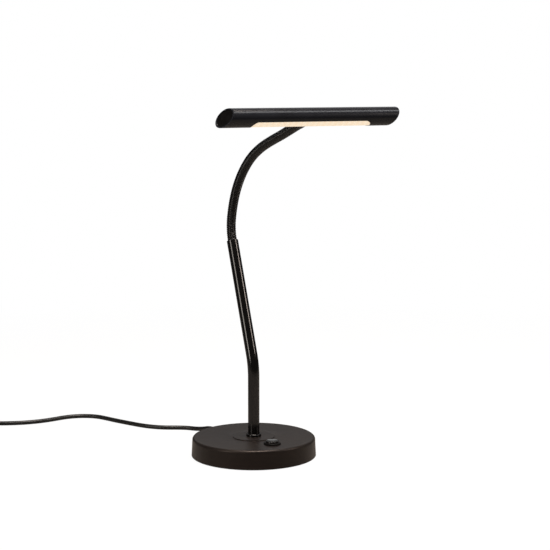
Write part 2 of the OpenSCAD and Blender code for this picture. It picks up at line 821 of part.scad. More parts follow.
module neck_bush() {
    bush_len = 10;
    color(steel) on_run(upper_run - neck_seat - bush_len) difference() {
        cylinder(d = tube_bore - 2 * fit_gap, h = bush_len);
        translate([0, 0, -cut]) cylinder(d = bore_d, h = bush_len + 2 * cut);
    }
}

// The lead's pieces: each ends short of the ball of the length below it, so that
// the neck bends at every groove without pinching it
lead_past = 1.2;
lead_short = ball_r - 0.5;

module stem_lead() {
    color(white) tube_rod(lead_d, 8, upper_run - neck_seat);
}

module neck_lead(i) {
    from = i == 0 ? -neck_seat : i * part_len + lead_short;
    to = i == neck_parts - 1 ? neck_len : (i + 1) * part_len + lead_past;
    steps = i == 0 ? 8 : 5;
    color(white) polyhedron(
        points = [for (k = [0 : steps])
            each neck_ring(from + (to - from) * k / steps, lead_d / 2)],
        faces = concat(
            band_faces(steps + 1, neck_sides, false),
            end_faces(steps + 1, neck_sides)));
}

// ---- head ----------------------------------------------------------------------

// The head's own frame: x along it, y back along the neck, z to its top
module on_head() {
    translate([0, head_mid[0], head_mid[1]]) rotate([-head_rise, 0, 0]) children();
}

module along_x(d, length) {
    rotate([0, 90, 0]) cylinder(d = d, h = length, center = true);
}

// Everything past the sloping end plane on one side, moved out by dx
module past_end(side, dx) {
    reach = head_len + 4 * head_d;
    translate([side * (head_len / 2 + dx), 0, 0]) rotate([mitre_way, 0, 0])
        rotate([0, mitre, 0])
            translate([side > 0 ? 0 : -reach, -reach, -reach])
                cube([reach, 2 * reach, 2 * reach]);
}

module head_shell() {
    color(black) on_head() difference() {
        along_x(head_d, head_len + 2 * head_d);
        along_x(2 * head_in, head_len + 3 * head_d);
        for (s = [-1, 1]) past_end(s, 0);
        translate([0, 0, -head_d]) linear_extrude(head_d) slot(window_len, window_w);
        translate([0, head_in - 2, 0]) rotate([-90, 0, 0])
            cylinder(d = spigot_d + 2 * fit_gap, h = head_wall + 4);
    }
}

cap_inset = 0.4;
cap_t = 1.2;

module end_cap(side) {
    far = (cap_inset + cap_t) / cos(mitre);
    color(black) on_head() difference() {
        along_x(2 * head_in - fit_gap, head_len + 2 * head_d);
        past_end(side, -cap_inset / cos(mitre));
        past_end(-side, far - head_len);
    }
}

// The diffuser lies in the tube behind the window and fills it; its lips reach up
// the tube's wall to lip_z
lip_z = -4.15;
lip_end = 1.2;
glass_t = 1.3;
glass_out = 0.3;
window_gap = 0.15;
glass_r = head_in - fit_gap / 2;

module diffuser() {
    color(cream) on_head() difference() {
        union() {
            along_x(2 * glass_r, window_len + 2 * lip_end);
            intersection() {
                along_x(head_d - 2 * glass_out, window_len);
                translate([0, 0, -head_d]) linear_extrude(head_d)
                    slot(window_len - 2 * window_gap, window_w - 2 * window_gap);
            }
        }
        along_x(2 * (glass_r - glass_t), window_len + 4 * lip_end);
        translate([0, 0, lip_z + head_d])
            cube([2 * head_len, 2 * head_d, 2 * head_d], center = true);
    }
}

carrier_z = -3.4;
carrier_t = 1.5;
strip_t = 1;
strip_w = 6;
strip_y = -0.6;
strip_l = 150;
chip_t = 0.7;
nut_in = 2.9;
head_nut_t = 2.6;
head_nut_flats = 8;

module led_carrier() {
    color(steel) on_head() difference() {
        intersection() {
            along_x(2 * head_in - 2 * fit_gap, strip_l);
            translate([-head_len, -head_d, carrier_z]) cube([2 * head_len, 2 * head_d, carrier_t]);
        }
        translate([-head_nut_flats, nut_in - loose_gap, carrier_z - cut])
            cube([2 * head_nut_flats, head_d, carrier_t + 2 * cut]);
    }
}

module led_board() {
    color(white) on_head()
        translate([-strip_l / 2, strip_y - strip_w / 2, carrier_z - strip_t])
            cube([strip_l, strip_w, strip_t]);
}

module led_chips() {
    count = floor((window_len - window_w) / chip_pitch);
    color(cream) on_head() for (k = [0 : count])
        translate([(k - count / 2) * chip_pitch, strip_y, carrier_z - strip_t - chip_t / 2])
            cube([2.8, 3.5, chip_t], center = true);
}

module head_ferrule() {
    color(black) on_head() difference() {
        union() {
            difference() {
                translate([0, head_r - 2, 0]) rotate([-90, 0, 0])
                    cylinder(d = ferrule_d, h = ferrule_len + 2);
                along_x(head_d + 2 * seat_gap, 2 * ferrule_d);
            }
            translate([0, nut_in, 0]) rotate([-90, 0, 0])
                cylinder(d = spigot_d, h = head_r + ferrule_len / 2 - nut_in);
        }
        translate([0, -cut, 0]) rotate([-90, 0, 0])
            cylinder(d = spigot_bore, h = 3 * head_d);
    }
}

module head_washer() {
    color(steel) on_head() difference() {
        intersection() {
            translate([0, nut_in + head_nut_t, 0]) rotate([-90, 0, 0])
                cylinder(d = head_nut_flats, h = head_d);
            along_x(2 * head_in - fit_gap, 2 * head_nut_flats);
        }
        rotate([-90, 0, 0]) cylinder(d = spigot_d + 2 * thread_gap, h = head_d);
    }
}

module head_nut() {
    color(steel) on_head() difference() {
        translate([0, nut_in, 0]) rotate([-90, 0, 0])
            linear_extrude(head_nut_t) hex(head_nut_flats);
        rotate([-90, 0, 0]) cylinder(d = spigot_d + 2 * thread_gap, h = head_d);
    }
}

module head_lead() {
    color(white) on_head() swept([[0, head_r + ferrule_len - 0.05, 0], [0, 12, 0],
        [0, 6, 0], [0, 2.7, 0], [0.7, 0, 0.2], [2.6, -2, 0.4], [5.5, -2.8, 0.4],
        [9, -2.8, 0.1], [15, -2.8, -0.3], [24, -2.8, -0.35]], 3, 8);
}

// ---- parts ---------------------------------------------------------------------

base_shell();
base_weight();
base_plate();
foot_pad();
base_screws();
tube_collar();
stem_tube();
tube_nipple();
tube_washer();
tube_nut();
switch_body();
switch_button();
switch_contacts();
driver_case();
driver_board();
driver_parts();
terminal_block();
terminal_screws();
base_wires();
cord_clamp();
clamp_screws();
strain_relief();
cord_inside();
cord();
cord_coil();
cord_end();
cord_tie();
plug_body();
plug_pins();
neck_bush();
stem_lead();
gooseneck(0);  // gooseneck_1
gooseneck(1);  // gooseneck_2
gooseneck(2);  // gooseneck_3
gooseneck(3);  // gooseneck_4
gooseneck(4);  // gooseneck_5
gooseneck(5);  // gooseneck_6
gooseneck(6);  // gooseneck_7
gooseneck(7);  // gooseneck_8
gooseneck(8);  // gooseneck_9
neck_lead(0);  // neck_lead_1
neck_lead(1);  // neck_lead_2
neck_lead(2);  // neck_lead_3
neck_lead(3);  // neck_lead_4
neck_lead(4);  // neck_lead_5
neck_lead(5);  // neck_lead_6
neck_lead(6);  // neck_lead_7
neck_lead(7);  // neck_lead_8
neck_lead(8);  // neck_lead_9
head_ferrule();
head_washer();
head_nut();
head_shell();
end_cap(-1);  // end_cap_left
end_cap(1);  // end_cap_right
diffuser();
led_carrier();
led_board();
led_chips();
head_lead();

// ---- measures ------------------------------------------------------------------

// Length of a route, and the least distance between turns of the coil that lie at
// least half a turn apart along it, less the cord's diameter
function route_len(p, k = 1) = k >= len(p) ? 0 : norm(p[k] - p[k - 1]) + route_len(p, k + 1);
coil_near = min([
    for (i = [0 : len(coil_route) - 1], j = [i + coil_steps / 2 : 1 : len(coil_route) - 1])
        norm(coil_route[i] - coil_route[j])
]);
echo(cord_total = route_len(cord_route) + route_len(coil_route) + route_len(end_route));
echo(coil_least_gap = coil_near - cord_d);
echo(coil_starts = coil_point(0), coil_ends = coil_point(coil_turns));
echo(head_mid = head_mid, head_rise = head_rise, mouth = mouth);
echo(joints = [for (i = [1 : neck_parts - 1]) [neck_at(i * part_len), neck_turn(i * part_len)]]);
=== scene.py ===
"""Desk lamp with a flexible neck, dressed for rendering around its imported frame.

The classes hold their sizes in millimetres and build meshes in metres, in the
frame's own axes: the lamp stands on z = 0 and its user sits on the -Y side.
"""

import json
import logging
import math
from contextlib import contextmanager
from dataclasses import dataclass
from enum import Enum
from typing import Callable, Dict, Iterator, List, Optional, Sequence, Tuple, Union

import bmesh
import bpy
from mathutils import Matrix, Vector

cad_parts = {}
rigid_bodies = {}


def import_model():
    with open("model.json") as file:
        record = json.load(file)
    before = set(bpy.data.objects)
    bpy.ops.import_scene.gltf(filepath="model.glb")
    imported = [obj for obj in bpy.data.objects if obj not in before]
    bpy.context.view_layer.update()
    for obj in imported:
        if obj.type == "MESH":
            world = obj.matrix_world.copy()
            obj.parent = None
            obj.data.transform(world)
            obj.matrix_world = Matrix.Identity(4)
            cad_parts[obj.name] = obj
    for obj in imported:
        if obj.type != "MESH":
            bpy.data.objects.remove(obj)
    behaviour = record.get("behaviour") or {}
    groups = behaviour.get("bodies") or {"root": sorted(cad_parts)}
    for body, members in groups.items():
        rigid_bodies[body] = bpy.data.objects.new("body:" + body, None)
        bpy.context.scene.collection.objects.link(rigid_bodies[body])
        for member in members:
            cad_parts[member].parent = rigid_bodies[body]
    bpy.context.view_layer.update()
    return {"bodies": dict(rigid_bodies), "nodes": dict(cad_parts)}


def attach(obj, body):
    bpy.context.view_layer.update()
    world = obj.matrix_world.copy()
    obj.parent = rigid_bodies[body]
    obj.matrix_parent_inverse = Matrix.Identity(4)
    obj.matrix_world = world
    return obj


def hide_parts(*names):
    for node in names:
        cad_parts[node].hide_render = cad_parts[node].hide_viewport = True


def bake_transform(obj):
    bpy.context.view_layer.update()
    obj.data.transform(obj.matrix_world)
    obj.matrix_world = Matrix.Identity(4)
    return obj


log = logging.getLogger("lamp")

MM = 0.001
Mesh = bpy.types.Object
Pair = Tuple[float, float]
Triple = Tuple[float, float, float]
Tree = bpy.types.NodeTree
Socket = bpy.types.NodeSocket
Value = Union[float, Sequence[float], Socket]


class Element(Enum):
    """What is picked in edit mode."""

    VERTICES = "VERT"
    EDGES = "EDGE"
    FACES = "FACE"


class Cut(Enum):
    """What a second solid does to a first."""

    TAKE_AWAY = "DIFFERENCE"
    ADD = "UNION"
    KEEP_COMMON = "INTERSECT"


# ---- modelling by hand ---------------------------------------------------------


def deselect() -> None:
    """Leaves edit mode and deselects everything, the frame's nodes too."""
    active = bpy.context.view_layer.objects.active
    if active is not None and active.mode != "OBJECT":
        bpy.ops.object.mode_set(mode="OBJECT")
    bpy.ops.object.select_all(action="DESELECT")


def focus(piece: Mesh) -> None:
    """Makes one piece the only selected one, and the active one."""
    deselect()
    piece.select_set(True)
    bpy.context.view_layer.objects.active = piece


@contextmanager
def editing(piece: Mesh) -> Iterator[None]:
    """Opens a piece in edit mode with all its vertices selected, and closes it again."""
    focus(piece)
    bpy.ops.object.mode_set(mode="EDIT")
    bpy.ops.mesh.select_mode(type=Element.VERTICES.value)
    bpy.ops.mesh.select_all(action="SELECT")
    yield
    bpy.ops.object.mode_set(mode="OBJECT")


def pick(kind: Element, test: Callable[[Vector], bool]) -> None:
    """Selects, in edit mode, what has its middle at a place that passes a test.

    Args:
        kind: vertices, edges or faces.
        test: is given the middle in millimetres and says whether it is picked.
    """
    bpy.ops.mesh.select_mode(type=kind.value)
    bpy.ops.mesh.select_all(action="DESELECT")
    data = bpy.context.edit_object.data
    shape = bmesh.from_edit_mesh(data)
    group = {
        Element.VERTICES: shape.verts,
        Element.EDGES: shape.edges,
        Element.FACES: shape.faces,
    }[kind]
    for item in group:
        if kind is Element.VERTICES:
            middle = item.co
        else:
            middle = sum((v.co for v in item.verts), Vector()) / len(item.verts)
        if test(middle / MM):
            item.select_set(True)
    bmesh.update_edit_mesh(data)


def named(name: str) -> Mesh:
    """Names the object that an operator has just added, and returns it."""
    piece = bpy.context.object
    piece.name = name
    piece.data.name = name
    return piece


def linked(name: str, data: bpy.types.ID) -> bpy.types.Object:
    """Adds an object for a light, a camera or a curve, and returns it."""
    made = bpy.data.objects.new(name, data)
    bpy.context.scene.collection.objects.link(made)
    return made


def arc(centre: Pair, radius: float, start: float, end: float, steps: int = 6) -> List[Pair]:
    """Points along an arc of an outline, its angles in degrees.

    Args:
        centre: the arc's middle.
        radius: the arc's radius.
        start: the angle of the first point.
        end: the angle of the last point.
        steps: the number of spaces between the points.

    Returns:
        The points, both ends with them.
    """
    angles = [math.radians(start + (end - start) * k / steps) for k in range(steps + 1)]
    return [(centre[0] + radius * math.cos(a), centre[1] + radius * math.sin(a)) for a in angles]


def spaced(first: float, last: float, step: float) -> List[float]:
    """Evenly spaced numbers from first to last, no further apart than step."""
    count = max(1, math.ceil(abs(last - first) / step))
    return [first + (last - first) * k / count for k in range(count + 1)]


def drawn(name: str, outline: Sequence[Pair]) -> Mesh:
    """Draws a line of edges, by extruding a vertex along an outline.

    Args:
        name: the new piece's name.
        outline: points of X and Z in millimetres.

    Returns:
        The piece, which has no faces yet.
    """
    deselect()
    bpy.ops.mesh.primitive_plane_add(size=MM)
    piece = named(name)
    with editing(piece):
        bpy.ops.mesh.merge(type="CENTER")
        at = Vector()
        for k, (x, z) in enumerate(outline):
            to = Vector((x, 0, z)) * MM
            if k == 0:
                bpy.ops.transform.translate(value=to)
            else:
                bpy.ops.mesh.extrude_vertices_move(TRANSFORM_OT_translate={"value": to - at})
            at = to
    return piece


def spun(name: str, outline: Sequence[Pair], sides: int = 96) -> Mesh:
    """Draws an outline and spins it about Z.

    Args:
        name: the new piece's name.
        outline: points of radius and height in millimetres.
        sides: the number of steps in the full turn.

    Returns:
        The closed piece, its normals pointing outwards.
    """
    piece = drawn(name, outline)
    with editing(piece):
        bpy.ops.mesh.spin(steps=sides, angle=math.tau, center=(0, 0, 0), axis=(0, 0, 1))
        tidy()
    return piece


def draw_out(*way: float) -> None:
    """Extrudes, in edit mode, what is selected along a way in metres."""
    bpy.ops.mesh.extrude_region_move(TRANSFORM_OT_translate={"value": way})


def tidy() -> None:
    """Merges doubles in edit mode and points all faces outwards."""
    bpy.ops.mesh.select_all(action="SELECT")
    bpy.ops.mesh.remove_doubles(threshold=MM / 500)
    bpy.ops.mesh.normals_make_consistent(inside=False)


def ring(outline: Sequence[Pair]) -> List[Pair]:
    """An outline that returns to its first point, for a piece with a bore."""
    return [*outline, outline[0]]


def settle(piece: Mesh, place: Optional[Matrix] = None) -> Mesh:
    """Puts a piece in its place, and leaves its object at the origin, unturned.

    Args:
        piece: the piece.
        place: where its own axes lie in the frame, in metres.

    Returns:
        The same piece.
    """
    focus(piece)
    if place is not None:
        piece.matrix_world = place @ piece.matrix_world
        bpy.context.view_layer.update()
    bpy.ops.object.transform_apply(location=True, rotation=True, scale=True)
    return piece


def modify(piece: Mesh, kind: str, **settings: object) -> Mesh:
    """Adds a modifier with its settings, and applies it."""
    focus(piece)
    modifier = piece.modifiers.new(kind.title(), kind)
    for key, value in settings.items():
        setattr(modifier, key, value)
    bpy.ops.object.modifier_apply(modifier=modifier.name)
    return piece


def cut(piece: Mesh, tool: Mesh, how: Cut = Cut.TAKE_AWAY) -> Mesh:
    """Joins a second solid to a piece or cuts it out, and deletes the second."""
    modify(piece, "BOOLEAN", object=tool, operation=how.value, solver="EXACT")
    bpy.data.objects.remove(tool)
    return piece


def slice_off(piece: Mesh, point: Vector, away: Vector) -> Mesh:
    """Cuts off all that lies past a plane, and closes the cut.

    Args:
        piece: a closed piece.
        point: a point of the plane in millimetres.
        away: the plane's normal, towards what goes.

    Returns:
        The same piece.
    """
    with editing(piece):
        bpy.ops.mesh.bisect(
            plane_co=point * MM, plane_no=away, use_fill=True, clear_outer=True, threshold=1e-7
        )
    return piece


def ease(piece: Mesh, width: float, angle: float = 35, steps: int = 2) -> Mesh:
    """Rounds the edges that are sharper than an angle in degrees, by a width in mm."""
    return modify(
        piece,
        "BEVEL",
        width=width * MM,
        segments=steps,
        limit_method="ANGLE",
        angle_limit=math.radians(angle),
        harden_normals=False,
        use_clamp_overlap=True,
    )


def smooth(piece: Mesh, angle: float = 32, weighted: bool = True) -> Mesh:
    """Shades a piece smooth up to an angle, with the large faces ruling the normals."""
    focus(piece)
    bpy.ops.object.shade_smooth_by_angle(angle=math.radians(angle))
    if weighted:
        modify(piece, "WEIGHTED_NORMAL", keep_sharp=True, weight=60)
    return piece


def copied(piece: Mesh, name: str) -> Mesh:
    """A copy of a piece with a mesh of its own."""
    focus(piece)
    bpy.ops.object.duplicate(linked=False)
    return named(name)


def turn_x(degrees: float) -> Matrix:
    """A turn about the X axis."""
    return Matrix.Rotation(math.radians(degrees), 4, "X")


def move(*place: float) -> Matrix:
    """A move by millimetres."""
    return Matrix.Translation(Vector(place) * MM)


# ---- finishes ------------------------------------------------------------------


def linear(code: str) -> Tuple[float, ...]:
    """An sRGB hex value as the linear colour that a shader takes."""
    parts = [int(code[k : k + 2], 16) / 255 for k in (1, 3, 5)]
    return (*[c / 12.92 if c <= 0.04045 else ((c + 0.055) / 1.055) ** 2.4 for c in parts], 1.0)


def add(
    tree: Tree,
    kind: str,
    inputs: Optional[Dict[Union[str, int], Value]] = None,
    **settings: object,
) -> bpy.types.Node:
    """Adds one shader node with its settings and links.

    Args:
        tree: the material's node tree.
        kind: the node's type, without its common first part.
        inputs: by socket name or number, a value or the output that feeds it.
        settings: the node's own properties.

    Returns:
        The node.
    """
    node = tree.nodes.new("ShaderNode" + kind)
    for key, value in settings.items():
        setattr(node, key, value)
    for key, value in (inputs or {}).items():
        if isinstance(value, Socket):
            tree.links.new(value, node.inputs[key])
        else:
            node.inputs[key].default_value = value
    return node


def per(size: float) -> float:
    """The texture scale on object coordinates that gives features of a size in mm."""
    return 1 / (size * MM)


@dataclass(frozen=True)
class Finish:
    """A painted, moulded or bare surface with patches of shade and a fine grain.

    Sizes are in millimetres. spread is how far the roughness varies either way.
    """

    name: str
    slot: str
    colour: str
    shade: str
    roughness: float
    spread: float = 0.04
    metallic: float = 0.0
    patch: float = 12.0
    grain: float = 0.6
    depth: float = 0.01
    stretch: Triple = (1.0, 1.0, 1.0)
    coat: float = 0.0
    coat_roughness: float = 0.1
    specular: float = 0.5
    ior: float = 1.5
    glint: str = "#FFFFFF"

    def material(self) -> bpy.types.Material:
        """The material, made once and then shared."""
        made = bpy.data.materials.get(self.name)
        if made is not None:
            return made
        made = bpy.data.materials.new(self.name)
        made.use_nodes = True
        tree = made.node_tree
        tree.nodes.clear()
        where = add(tree, "TexCoord").outputs["Object"]
        shader = add(
            tree,
            "BsdfPrincipled",
            {
                # the glint's colour takes away grazing reflections that a fine texture scatters
                "Metallic": self.metallic,
                "Coat Weight": self.coat,
                "Coat Roughness": self.coat_roughness,
                "IOR": self.ior,
                "Specular IOR Level": self.specular,
                "Specular Tint": linear(self.glint),
            },
        )
        self.dress(tree, where, shader)
        add(tree, "OutputMaterial", {"Surface": shader.outputs["BSDF"]})
        made.diffuse_color = linear(self.colour)
        return made

    def dress(self, tree: Tree, where: Socket, shader: bpy.types.Node) -> None:
        """Feeds the shader's colour, roughness and relief from procedural patterns."""
        patches = add(
            tree, "TexNoise", {"Vector": where, "Scale": per(self.patch), "Detail": 3.0}
        ).outputs["Fac"]
        colour = self.blend(tree, patches, self.colour, self.shade)
        tree.links.new(colour, shader.inputs["Base Color"])
        spread = add(
            tree,
            "MapRange",
            {
                "Value": patches,
                "From Min": 0.3,
                "From Max": 0.7,
                "To Min": self.roughness - self.spread,
                "To Max": self.roughness + self.spread,
            },
        )
        tree.links.new(spread.outputs["Result"], shader.inputs["Roughness"])
        self.emboss(tree, self.relief(tree, where), shader)

    def relief(self, tree: Tree, where: Socket) -> Socket:
        """The height of the fine grain, from 0 to 1."""
        laid = add(tree, "Mapping", {"Vector": where, "Scale": self.stretch})
        noise = add(
            tree,
            "TexNoise",
            {"Vector": laid.outputs["Vector"], "Scale": per(self.grain), "Detail": 2.0},
        )
        return noise.outputs["Fac"]

    def emboss(self, tree: Tree, height: Socket, shader: bpy.types.Node) -> None:
        """Turns a height from 0 to 1 into relief of the finish's depth."""
        bump = add(tree, "Bump", {"Height": height, "Distance": self.depth * MM, "Strength": 1.0})
        tree.links.new(bump.outputs["Normal"], shader.inputs["Normal"])

    @staticmethod
    def blend(tree: Tree, factor: Socket, first: str, second: str) -> Socket:
        """A colour between two, by a noise that keeps near its middle."""
        ramp = add(tree, "ValToRGB", {"Fac": factor})
        low, high = ramp.color_ramp.elements
        low.position, low.color = 0.35, linear(first)
        high.position, high.color = 0.65, linear(second)
        return ramp.outputs["Color"]


@dataclass(frozen=True)
class CelledFoam(Finish):
    """EVA foam: closed cells that the cut skin leaves as fine pits."""

    def relief(self, tree: Tree, where: Socket) -> Socket:
        """Pits of a cell's size."""
        cells = add(tree, "TexVoronoi", {"Vector": where, "Scale": per(self.grain)})
        return cells.outputs["Distance"]


@dataclass(frozen=True)
class LitOpal(Finish):
    """Opal acrylic with light behind it: an even glow, faintly stronger over each chip."""

    glow: str = "#FFECD0"
    edge_glow: str = "#FEE6C6"
    strength: float = 0.78
    chip_pitch: float = 6.2

    def dress(self, tree: Tree, where: Socket, shader: bpy.types.Node) -> None:
        """Adds the glow to the plain opal surface."""
        super().dress(tree, where, shader)
        waves = add(
            tree,
            "TexWave",
            {"Vector": where, "Scale": per(self.chip_pitch) * math.tau / 20, "Distortion": 0.0},
            bands_direction="X",
        )
        glow = self.blend(tree, waves.outputs["Fac"], self.edge_glow, self.glow)
        tree.links.new(glow, shader.inputs["Emission Color"])
        shader.inputs["Emission Strength"].default_value = self.strength


@dataclass(frozen=True)
class Lacquer(Finish):
    """Solder-mask board: a dark lacquer with copper tracks raised under it."""

    track: float = 2.4

    def relief(self, tree: Tree, where: Socket) -> Socket:
        """Square-edged tracks."""
        tracks = add(
            tree, "TexBrick", {"Vector": where, "Scale": per(self.track), "Mortar Size": 0.12}
        )
        return tracks.outputs["Fac"]


# Powder coat, sprayed and baked on pressed steel: an even satin brown-black whose fine
# orange peel breaks up every highlight, and whose pigment throws more light back than a
# clear plastic would. The peel is drawn 1.1 mm wide, or it wouldn't show
POWDER_COAT = Finish(
    "powder_coated_steel", "base_paint", "#1B1716", "#1E1A18", 0.36, patch=30, grain=1.1,
    depth=0.01, ior=2.2, glint="#6E6560",
)
# Stoved gloss enamel on drawn tube: near black, with long sharp reflections
GLOSS_ENAMEL = Finish(
    "gloss_black_enamel", "gloss_black", "#080707", "#0B0A09", 0.15, 0.02,
    patch=18, grain=2.2, depth=0.0004,
)
# Black-plated wound steel: the satin of metal under a thin black skin
BLACK_PLATE = Finish(
    "black_plated_steel", "satin_black", "#060505", "#090808", 0.16, 0.04,
    patch=5, grain=0.35, depth=0.001, specular=0.45,
)
# Satin paint on extruded aluminium: a smooth cool black with a soft broad sheen
PAINTED_ALUMINIUM = Finish(
    "satin_painted_aluminium", "head_aluminium", "#1D1E22", "#202126", 0.23, 0.02,
    patch=20, grain=0.9, depth=0.001, specular=0.36,
)
# Cast iron, as cast: dark grey with a coarse sand skin
CAST_IRON = Finish(
    "sand_cast_iron", "iron", "#3B3A3B", "#4A4848", 0.62, 0.08,
    metallic=0.7, patch=6, grain=0.9, depth=0.06,
)
# Zinc plate on steel: bright grey with a faint mottle
ZINC_STEEL = Finish(
    "zinc_plated_steel", "steel", "#B9BABC", "#9EA0A3", 0.3, 0.08,
    metallic=1.0, patch=4, grain=0.5, depth=0.004,
)
# Mill-finish aluminium: pale, with drawing lines along the head
MILL_ALUMINIUM = Finish(
    "mill_aluminium", "bare_aluminium", "#C4C6C9", "#B4B6BA", 0.36, 0.05,
    metallic=1.0, patch=9, grain=0.3, depth=0.003, stretch=(0.04, 1.0, 1.0),
)
# Stamped brass: warm yellow, slightly dulled
STAMPED_BRASS = Finish(
    "stamped_brass", "brass", "#C39B52", "#A9823F", 0.32, 0.06,
    metallic=1.0, patch=2, grain=0.3, depth=0.003,
)
# Nickel plate on the pins: a bright, cool mirror with hairline wear along them
NICKEL = Finish(
    "nickel_plated_brass", "pin_metal", "#C9C7C2", "#BDBAB4", 0.2, 0.05,
    metallic=1.0, patch=3, grain=0.25, depth=0.002,
)
# EVA foam sheet: dull black with fine closed cells
EVA_FOAM = CelledFoam(
    "eva_foam", "foam", "#161616", "#1D1D1D", 0.85, 0.05, patch=10, grain=0.8, depth=0.05,
    specular=0.3,
)
# Moulded ABS, spark-eroded tool: a fine even matt grain
MATT_ABS = Finish(
    "grained_abs", "black_plastic", "#0C0B0B", "#100F0F", 0.42, 0.05, patch=5, grain=0.4,
    depth=0.006, glint="#2E2E2E",
)
# Moulded ABS, polished tool: glossy, so that the dish of the button mirrors the room
GLOSS_ABS = Finish(
    "polished_abs", "gloss_plastic", "#0E0D0D", "#121111", 0.14, 0.03, patch=6, grain=1.5,
    depth=0.001, coat=1.0, coat_roughness=0.06,
)
# Moulded polyamide: an off-white, slightly waxy plastic
POLYAMIDE = Finish(
    "white_polyamide", "white_plastic", "#D9D8D2", "#CFCDC6", 0.45, 0.05, patch=6, grain=0.5,
    depth=0.005,
)
# Soft PVC sheath: satin black, with the slight waviness of an extruded sheath
PVC_SHEATH = Finish(
    "pvc_sheath", "cord_pvc", "#0D0D0D", "#131313", 0.4, 0.05, patch=9, grain=1.4, depth=0.01,
)
# PVC lead inside the lamp: white and slightly glossy
PVC_LEAD = Finish(
    "pvc_lead", "lead_pvc", "#D6D4CE", "#CCC9C2", 0.38, 0.04, patch=6, grain=0.9, depth=0.004,
)
# Driver board: green lacquer over copper
GREEN_BOARD = Lacquer(
    "green_solder_mask", "board", "#12402A", "#184C33", 0.3, 0.04, patch=5, depth=0.02,
)
# Light strip: white lacquer that throws the light forward
WHITE_BOARD = Lacquer(
    "white_solder_mask", "led_board", "#E4E4DF", "#DADAD4", 0.4, 0.04, patch=6, depth=0.02,
)
# Phosphor gel over the chips: a milky yellow
PHOSPHOR = Finish(
    "phosphor_gel", "led_yellow", "#E8C35A", "#DDB54A", 0.25, 0.05, patch=1.2, grain=0.4,
    depth=0.004,
)
# Opal acrylic, lit: warm white, as in the photograph
OPAL = LitOpal(
    "lit_opal_acrylic", "opal", "#F4EEE4", "#F1EADF", 0.35, 0.03, patch=8, grain=1.2, depth=0.004,
)


def finish_piece(piece: Mesh, look: Finish) -> Mesh:
    """Gives a new piece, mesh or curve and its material."""
    piece.data.materials.clear()
    piece.data.materials.append(look.material())
    return piece


def stand_in(piece: Mesh, look: Finish, body: str, *nodes: str) -> Mesh:
    """Finishes a piece that moves with one body and stands for its nodes."""
    finish_piece(piece, look)
    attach(piece, body)
    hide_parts(*nodes)
    log.info("%s on %s, for %s", piece.name, body, ", ".join(nodes))
    return piece


# ---- studio --------------------------------------------------------------------


def flat_light(name: str, size: Pair, watts: float, colour: str, mirrored: bool) -> Mesh:
    """Adds a rectangular light that the camera doesn't see.

    Args:
        name: the light's name.
        size: its two sides in metres.
        watts: its power.
        colour: an sRGB hex value.
        mirrored: whether glossy surfaces mirror it.

    Returns:
        The light's object, at the origin and shining down.
    """
    data = bpy.data.lights.new(name, "AREA")
    data.shape = "RECTANGLE"
    data.size, data.size_y = size
    data.energy = watts
    data.color = linear(colour)[:3]
    lamp = linked(name, data)
    lamp.visible_camera = False
    lamp.visible_glossy = mirrored
    return lamp


@dataclass
class Softbox:
    """One soft light: where it stands as seen from the lamp, and how bright its face is.

    Angles are in degrees, size and distance in metres, and aim in millimetres.
    """

    name: str
    azimuth: float
    height: float
    size: Pair
    radiance: float
    distance: float = 1.5
    colour: str = "#FFFFFF"
    aim: Triple = (0.0, 0.0, 200.0)
    along: Triple = (0.0, 0.0, 0.0)
    mirrored: bool = True

    def build(self) -> None:
        """Adds the lamp, turned to its aim. Azimuth 0 is the -Y side, 90 the +X side.

        Its first side lies level, or along the given direction. One that isn't mirrored
        lights matt surfaces only.
        """
        turn, rise = math.radians(self.azimuth), math.radians(self.height)
        way = Vector(
            (math.sin(turn) * math.cos(rise), -math.cos(turn) * math.cos(rise), math.sin(rise))
        )
        # a flat light of radiance 1 gives pi watts from each square metre
        watts = self.radiance * math.pi * self.size[0] * self.size[1]
        lamp = flat_light(self.name, self.size, watts, self.colour, self.mirrored)
        lamp.location = Vector(self.aim) * MM + way * self.distance
        lamp.rotation_mode = "QUATERNION"
        side = Vector(self.along) if any(self.along) else Vector((0, 0, 1)).cross(way)
        side = (side - way * side.dot(way)).normalized()
        turned = Matrix((side, way.cross(side), way)).transposed()
        lamp.rotation_quaternion = turned.to_quaternion()


